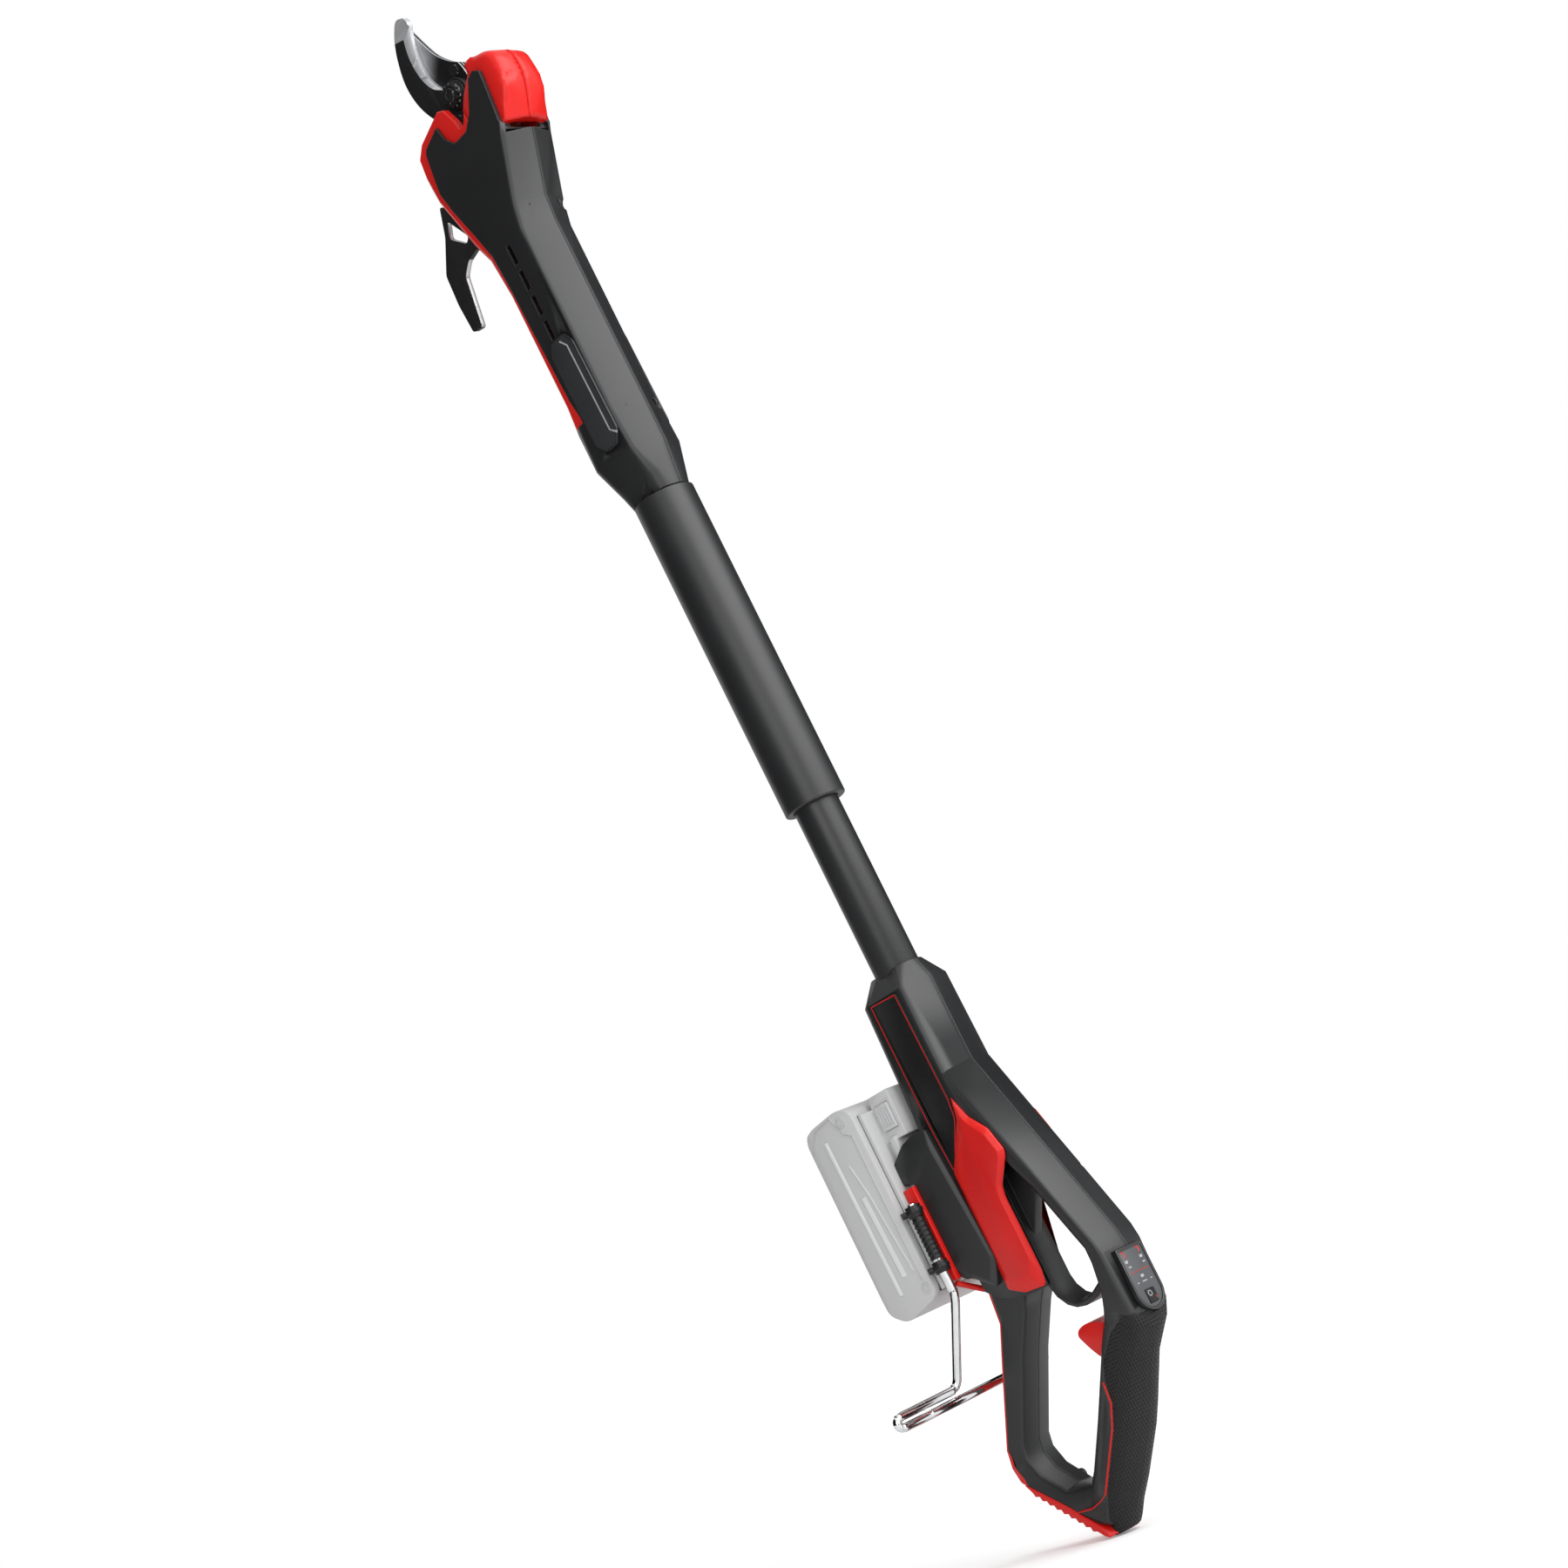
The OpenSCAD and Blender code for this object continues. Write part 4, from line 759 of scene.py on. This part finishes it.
def seamEdge(edge):
    return (max(abs(v.co.y) for v in edge.verts) < 0.15 * mm and edge.calc_length() > 0.4 * mm
            and max(abs(face.normal.y) for face in edge.link_faces) > 0.9
            and min(abs(face.normal.y) for face in edge.link_faces) < 0.6)


shells = {
    "notch": {"x": (-10, 33), "heights": (232, 260), "fade": 12, "forward": 3.6, "down": 1.8, "rise": (230, 8)},
    "trimEdge": [[-30.6, 140], [-33.2, 122.6], [-44.4, 104.8], [-68.8, 62.4], [-70.6, 52.6], [-67, 41]],
    "trimShift": 2, "trimFade": (6, 8),
    "loop": {"cuts": (181, 187), "heights": (127, 182),
             "wall": {"x": (3.7, 16), "beyond": 9.5, "to": -5}, "cheek": {"x": (0.5, 1.5), "beyond": 15, "to": 10}},
    "seam": 0.35,
}


def openNotch(bm, s):
    # The shell's edge stands clear of the red rim beside the notch
    for v in bm.verts:
        x, z = v.co.x / mm, v.co.z / mm - headLift
        if s["x"][0] < x < s["x"][1] and s["heights"][0] < z < s["heights"][1]:
            reach = min(1, (s["x"][1] - x) / s["fade"])
            rise = min(1, max(0.4, (z - s["rise"][0]) / s["rise"][1]))
            v.co.x += s["forward"] * reach * rise * mm
            v.co.z -= s["down"] * reach * mm


def widenTrim(bm):
    # Moves the line where the column's red edge meets the black shell
    line = [Vector(p) for p in shells["trimEdge"]]
    top, foot = line[0].y, line[-1].y
    low, high = shells["trimFade"]
    for v in bm.verts:
        at = Vector((v.co.x / mm, v.co.z / mm - rearLift))
        for a, b in zip(line, line[1:]):
            t = (at - a).dot(b - a) / (b - a).length_squared
            if -0.01 < t < 1.01 and (a.lerp(b, t) - at).length < 0.2:
                v.co.x += shells["trimShift"] * min(1, (at.y - foot) / low, (top - at.y) / high) * mm
                break


def openLoop(bm, s):
    # The far half of the body stands back from the guard's loop
    for height in s["cuts"]:
        bmesh.ops.bisect_plane(bm, geom=bm.verts[:] + bm.edges[:] + bm.faces[:], dist=1e-6,
                               plane_co=(0, 0, (height + rearLift) * mm), plane_no=(0, 0, 1))
    wall, cheek = s["wall"], s["cheek"]
    for v in bm.verts:
        x, y, z = v.co.x / mm, v.co.y / mm, v.co.z / mm - rearLift
        if not s["heights"][0] < z < s["heights"][1]:
            continue
        if wall["x"][0] < x < wall["x"][1] and y > wall["beyond"]:
            v.co.x = wall["to"] * mm
        elif cheek["x"][0] < x < cheek["x"][1] and y > cheek["beyond"]:
            v.co.y = cheek["to"] * mm


for side, hand in sides.items():
    for part in ("head", "rear"):
        node = f"{part}_shell_{side}"
        bm = mergedCopy(node)
        if part == "head":
            openNotch(bm, shells["notch"])
        else:
            widenTrim(bm)
            if hand > 0:
                openLoop(bm, shells["loop"])
        softenEdges(bm, shells["seam"], sharp=40, segments=1, clamp=False, where=seamEdge)
        keep(bm, part + "Shell" + side.capitalize(), "tool", "black_shell", None, [node])
for node in ("head_screws", "rear_screws"):
    softened(node, 0.2, ["blackSteel"])
bm = mergedCopy("column_trim")
widenTrim(bm)
keep(bm, "columnTrim", "tool", "red_plastic", None, ["column_trim"])
print("blades, head and housings are made")


def stripAlong(bm, points, width, low, high, lift, look, frontal=False):
    # A raised strip that follows a line on a side face, or on a face that looks along X
    points = [Vector(p) for p in points]
    rows = []
    for i, point in enumerate(points):
        way = (points[min(i + 1, len(points) - 1)] - points[max(i - 1, 0)]).normalized()
        out = Vector((way.y, -way.x)) * width / 2
        rows.append([bm.verts.new((y * mm, p.x * mm, (p.y + lift) * mm) if frontal
                                  else (p.x * mm, y * mm, (p.y + lift) * mm))
                     for p, y in ((point - out, low), (point - out * 0.5, high), (point + out * 0.5, high),
                                  (point + out, low))])
    for a, b in zip(rows, rows[1:]):
        for k in range(4):
            bm.faces.new((a[k], a[(k + 1) % 4], b[(k + 1) % 4], b[k])).material_index = look
    for row in (rows[0], rows[-1]):
        bm.faces.new(row).material_index = look


def stackedPlate(levels, lift):
    # Closed shape through outlines of [x, depth, height], all with as many points
    bm = bmesh.new()
    loops = []
    for points in levels:
        verts = [bm.verts.new((x * mm, y * mm, (z + lift) * mm)) for x, y, z in points]
        loops.append([bm.edges.new((verts[i - 1], verts[i])) for i in range(len(verts))])
    for a, b in zip(loops, loops[1:]):
        bmesh.ops.bridge_loops(bm, edges=a + b)
    bmesh.ops.holes_fill(bm, edges=bm.edges)
    bmesh.ops.recalc_face_normals(bm, faces=bm.faces)
    return bm


def level(outline, depth, hand, radius=1.5):
    # depth is a number, or a function of x, counted outwards from the middle plane
    return [(p.x, hand * (depth(p.x) if callable(depth) else depth), p.y) for p in rounded(outline, radius)]


sidePlates = {
    "outline": [[11.6, 236.6], [16.4, 223.4], [24.8, 213.2], [28.6, 200], [27.4, 196.4], [16.6, 184], [15.2, 178],
                [15.2, 137.8], [13.4, 129.2], [-1, 130.4], [-11, 135.6], [-9.2, 201.4], [9.4, 225.2]],
    "crown": [[13, 226.6], [16.2, 219.6], [23, 210.6], [26, 200], [25, 197.4], [15, 185], [13.4, 178.6],
              [13.4, 145.6], [7, 137.2], [0.6, 137.4], [-6.6, 142.2], [-5.8, 191.6], [9.6, 216]],
    "seat": 19.6, "edge": 20.9, "top": 23,
    "back": {"top": 184, "edge": -8},  # the far plate stops short of the guard's loop
}
docks = {
    "face": [[-17, 223.6], [-13.4, 219.2], [-8.9, 154.2], [-15.4, 143.6], [-25, 152.2], [-26.6, 153.2], [-31, 156],
             [-31, 205.2], [-34.4, 207.2], [-34.2, 211], [-24.8, 220.4]],
    "foot": [[-20.6, 229.4], [-12.4, 228.6], [-7.8, 153], [-14.4, 139.6], [-25, 148.4], [-27.2, 149.6], [-30.6, 152],
             [-30.6, 205.4], [-40.4, 207.6], [-40.4, 218.8], [-29, 226]],
    "rail": -26.8,  # left of here the dock stands out over the battery's rail
    "seats": (26.6, 16.5), "railFoot": 27,
    "footSlope": (22, -7.8, 0.2), "faceSlope": (24, -8, 0.17),  # depth, at which x, and growth per mm
}


def slopeAt(x, slope):
    depth, start, growth = slope
    return depth + growth * (start - x)


def dockSeat(x):
    return docks["seats"][0 if x < docks["rail"] else 1]


def dockFoot(x):
    return docks["railFoot"] if x < docks["rail"] else slopeAt(x, docks["footSlope"])


def dockFace(x):
    return slopeAt(x, docks["faceSlope"])


labels = {
    "outline": [[9.4, 297.6], [-10.7, 298.4], [-10.4, 226], [-9, 202.6], [-6.6, 201.6], [9, 225.4], [10.6, 235.8]],
    "seat": 19.8, "top": 21, "border": [(0.5, 0, 0), (0.5, 0, 1), (1.3, -0.35, 0)],
}
badges = {
    "border": [(0.7, -0.35, 1), (0.8, 0.25, 0)],
    "ridge": [[0.6, 100], [4.4, 95.4], [5.2, 41.4], [9.4, 37.6]], "ridgeWidth": 1.5,
}


def plateLook(place, normal):
    # The flat of the plate is speckled, its edges are smooth
    return 1 if abs(normal.y) > 0.99 and abs(place.y) > 22 else 0


for side, hand in sides.items():
    bm = mergedCopy("badge_" + side)
    insetSteps(bm, outerFaces(bm, (0, hand, 0)), badges["border"])
    face = max(v.co.y * hand for v in bm.verts) / mm * hand
    # The bright steel strip along the badge's bevel is a painted highlight
    stripAlong(bm, badges["ridge"], badges["ridgeWidth"], face - hand * 0.3, face + hand * 0.05, headLift, 2)
    bmesh.ops.recalc_face_normals(bm, faces=bm.faces)
    keep(bm, "badge" + side.capitalize(), "tool", slotOf["badge_" + side],
         ["badgeFilm", "darkTrim", "groundSteel"], ["badge_" + side])

    bm = stackedPlate([level(labels["outline"], labels[depth], hand) for depth in ("seat", "top")], rearLift)
    insetSteps(bm, outerFaces(bm, (0, hand, 0)), labels["border"])
    keep(bm, "labelPanel" + side.capitalize(), "tool", slotOf["label_panel_" + side],
         ["darkTrim", "redPlastic"], ["label_panel_" + side])

    s = sidePlates
    if hand > 0:
        for key in ("outline", "crown"):
            s = {**s, key: [[min(x, s["back"]["edge"]) if z < s["back"]["top"] + 1 else x, z]
                            for x, z in s[key]]}
    bm = stackedPlate([level(s["outline"], s["seat"], hand), level(s["outline"], s["edge"], hand),
                       level(s["crown"], s["top"], hand)], rearLift)
    softenEdges(bm, 0.35, clamp=False, sharp=20)
    for face in bm.faces:
        face.material_index = plateLook(face.calc_center_median() / mm, face.normal)
    keep(bm, "sidePlate" + side.capitalize(), "tool", "red_plastic", ["redPlastic", "redSpeckled"],
         ["side_plate_" + side])

    bm = stackedPlate([level(docks["foot"], dockSeat, hand), level(docks["foot"], dockFoot, hand),
                       level(docks["face"], dockFace, hand)], rearLift)
    softenEdges(bm, 0.4, clamp=False, sharp=15)
    keep(bm, "dock" + side.capitalize(), "tool", "black_shell", None, ["dock_" + side])
print("plates are made")


def arc(x, z, radius, start, end, count=16):
    turns = [math.radians(start + (end - start) * i / count) for i in range(count + 1)]
    return [[x + radius * math.cos(a), z + radius * math.sin(a)] for a in turns]


# Marks on the panel's face, in mm across and up: a line, its width and its look
panelMarks = [
    (arc(-7, 125.2, 1.5, -70, 120), 0.9, 1), (arc(5.4, 125.2, 1.5, -70, 120), 0.9, 1),
    ([[-7.6, 121.4], [-5.4, 121.4]], 2, 2), ([[4.8, 121.4], [7, 121.4]], 2, 2),
    ([[-6.8, 118.4], [-4.6, 118.4]], 1, 2), ([[5.2, 118.4], [7.4, 118.4]], 1, 2),
    ([[-8, 115.2], [8, 115.2]], 0.35, 1), ([[-1.2, 112.2], [1.2, 112.2]], 2, 2),
    ([[-6, 109.4], [-4.6, 109.4]], 0.8, 2), ([[-1.8, 109.4], [2, 109.4]], 0.8, 2),
    ([[5, 109.4], [6.4, 109.4]], 0.8, 2),
]
panelFace = (56.3, 56.5)  # where the marks start and end along X
bm = mergedCopy("panel_face")
softenEdges(bm, 0.3)
for line, width, look in panelMarks:
    stripAlong(bm, line, width, *panelFace, rearLift, look, frontal=True)
bmesh.ops.recalc_face_normals(bm, faces=bm.faces)
keep(bm, "panelFace", "tool", "panel", ["panelFilm", "redPlastic", "paleMark"], ["panel_face"])
softened("panel_bezel", 0.5, ["darkTrim", "panelFilm"],
         lambda place, normal: 1 if 0.4 < normal.x < 0.97 else 0)

# The plain ring and tick on the button: a line, its width and its look
buttonMarks = [(arc(-1.1, 102.7, 1.35, 0, 360), 0.6, 1), (arc(2, 99.8, 0.7, -60, 100, 8), 0.5, 2)]
bm = mergedCopy("power_button")
softenEdges(bm, 0.3)
top = max(v.co.x for v in bm.verts) / mm
for line, width, look in buttonMarks:
    stripAlong(bm, line, width, top - 0.1, top + 0.1, rearLift, look, frontal=True)
bmesh.ops.recalc_face_normals(bm, faces=bm.faces)
keep(bm, "powerButton", "button", "dark_trim", ["darkTrim", "paleMark", "redPlastic"], ["power_button"])


hookClamps = {
    "at": (-34, -34), "heights": (161.6, 193),
    "collars": [(3.2, 3, 4.2), (1.2, 3.6, 4.9)],  # half height, inner and outer radius
    "screw": {"from": (-36.8, -37), "to": (-39, -39.4), "radius": 1.7},
}


def washer(bm, x, y, low, high, inner, outer, count=28):
    loops = []
    for radius, z in ((outer, low), (outer, high), (inner, high), (inner, low)):
        verts = [bm.verts.new(((x + radius * math.cos(a)) * mm, (y + radius * math.sin(a)) * mm,
                               (z + rearLift) * mm))
                 for a in (2 * math.pi * i / count for i in range(count))]
        loops.append([bm.edges.new((verts[i - 1], verts[i])) for i in range(count)])
    for a, b in zip(loops, loops[1:] + loops[:1]):
        bmesh.ops.bridge_loops(bm, edges=a + b)


def makeHookClamps(s):
    bm = bmesh.new()
    for z in s["heights"]:
        for half, inner, outer in s["collars"]:
            washer(bm, *s["at"], z - half, z + half, inner, outer)
        rod(bm, (*s["screw"]["from"], z + rearLift), (*s["screw"]["to"], z + rearLift), s["screw"]["radius"], 14)
    bmesh.ops.recalc_face_normals(bm, faces=bm.faces)
    softenEdges(bm, 0.3, clamp=False, sharp=50)
    keep(bm, "hookClamps", "tool", "dark_trim", None, ["hook_clamps"])


makeHookClamps(hookClamps)

footPad = {
    "heel": (-68.6, 42), "ribs": {"from": (-65.8, 37), "to": (-36.4, 6), "count": 10, "tooth": (0.6, -2.6)},
    "toe": [(-31, 2.4), (-26.6, 0.8), (-25.6, 1.6), (-30, 6.6), (-34, 9.4), (-46.6, 22.2), (-67, 41)],
    "toeFrom": -36, "rows": [(-13.4, 0.6), (-8, 1), (8, 1), (13.4, 0.6)],  # depth, and length of the toe there
}


def makeFootPad(s):
    ribs, start = [], s["toeFrom"]
    for i in range(s["ribs"]["count"]):
        at = Vector(s["ribs"]["from"]).lerp(Vector(s["ribs"]["to"]), i / (s["ribs"]["count"] - 1))
        ribs += [tuple(at), tuple(at + Vector(s["ribs"]["tooth"]))]
    outline = [s["heel"]] + ribs[:-1] + s["toe"]
    bm = stackedPlate([[(x if x < start else start + (x - start) * share, y, z) for x, z in outline]
                       for y, share in s["rows"]], rearLift)
    softenEdges(bm, 0.35, clamp=False, sharp=60)
    keep(bm, "footPad", "tool", "red_plastic", None, ["foot_pad"])


makeFootPad(footPad)

# The rubber comes down to the ground in ovals: height, middle, half length and half width
gripEnd = [[18, -18, 11, 14], [12, -22, 9.4, 12], [4, -26.6, 7.6, 10.4], [1.2, -28.4, 6.6, 9.6],
           [0.3, -29, 5, 8.4]]


def makeGripCover(ovals, count=36):
    bm = mergedCopy("grip_cover")
    softenEdges(bm, 0.4)
    turns = [math.tau * i / count for i in range(count)]
    end = stackedPlate([[(x + long * math.cos(a), wide * math.sin(a), z) for a in turns]
                        for z, x, long, wide in ovals], rearLift)
    mesh = bpy.data.meshes.new("gripEndPart")
    end.to_mesh(mesh)
    end.free()
    bm.from_mesh(mesh)
    bpy.data.meshes.remove(mesh)
    keep(bm, "gripCover", "tool", "rubber", None, ["grip_cover"])


makeGripCover(gripEnd)

# The red line between shell and rubber: its way, and the depths of its foot and top
gripLines = {"width": 1.1, "ways": [
    ([[14.4, 73], [13, 62.2], [6, 50.2], [-18.4, 21.4]], 15.2, 15.9),
    ([[-18, 22], [-24, 19.4], [-32, 17.6], [-42, 18.6]], 12, 14.5),
]}
bm = bmesh.new()
for hand in (-1, 1):
    for line, low, high in gripLines["ways"]:
        stripAlong(bm, line, gripLines["width"], hand * low, hand * high, rearLift, 0)
bmesh.ops.recalc_face_normals(bm, faces=bm.faces)
keep(bm, "gripLine", "tool", "red_plastic", None, ["grip_line"])

dockRim = {"from": (-34.6, 28.6, 150.6), "to": (-31, 15, 141.6), "radius": 1.6}
bm = mergedCopy("dock_lining")
softenEdges(bm, 0.4)
for hand in (-1, 1):  # the red edge runs on under the dock
    start, end = ((x, y * hand, z + rearLift) for x, y, z in (dockRim["from"], dockRim["to"]))
    rod(bm, start, end, dockRim["radius"], 14)
keep(bm, "dockLining", "tool", "red_plastic", None, ["dock_lining"])

# The pack's sides: slanted ribs, round screw caps and a bare place for a label
batteryMarks = {
    "setBack": 0.5,
    "strips": [  # way, width, height over the side and look
        ([[-67, 246.6], [-65.4, 157.4]], 3.4, 0.5, 1),
        ([[-58.4, 230], [-54.6, 212], [-49.6, 166]], 0.8, 0.5, 1),
        ([[-59.4, 212], [-57.4, 165.4]], 5.4, 0.25, 1),
        ([[-79, 244], [-70, 254.4], [-57, 256.6], [-52, 246], [-47, 243], [-46.6, 160]], 1, 0.5, 0),
    ],
    "caps": [(-51, 252), (-46.8, 155.1)],
    "capRings": [(3, 0.3, 28), (1.8, 0.55, 24)],  # radius, height and corners
}


def makeBatteryCase(s):
    bm = mergedCopy("battery_case")
    reach = max(v.co.y for v in bm.verts)
    for v in bm.verts:
        if abs(v.co.y) > reach - 0.1 * mm:
            v.co.y -= math.copysign(s["setBack"] * mm, v.co.y)
    softenEdges(bm, 0.6)
    for hand in (-1, 1):
        side = (reach / mm - s["setBack"]) * hand
        for line, width, height, look in s["strips"]:
            stripAlong(bm, line, width, side - hand, side + height * hand, rearLift, look)
        for x, z in s["caps"]:
            for radius, height, count in s["capRings"]:
                rod(bm, (x, side - hand, z + rearLift), (x, side + height * hand, z + rearLift), radius, count)
    bmesh.ops.recalc_face_normals(bm, faces=bm.faces)
    keep(bm, "batteryCase", "battery", "pack_plastic", ["packPlastic", "packPale"], ["battery_case"])


makeBatteryCase(batteryMarks)
print("panel, clamps, grip, foot and battery are made")

# Every other part keeps its shape, with softened edges
for node in frame["nodes"]:
    if node not in madeAnew:
        softened(node)
print("carried-over parts are ready")
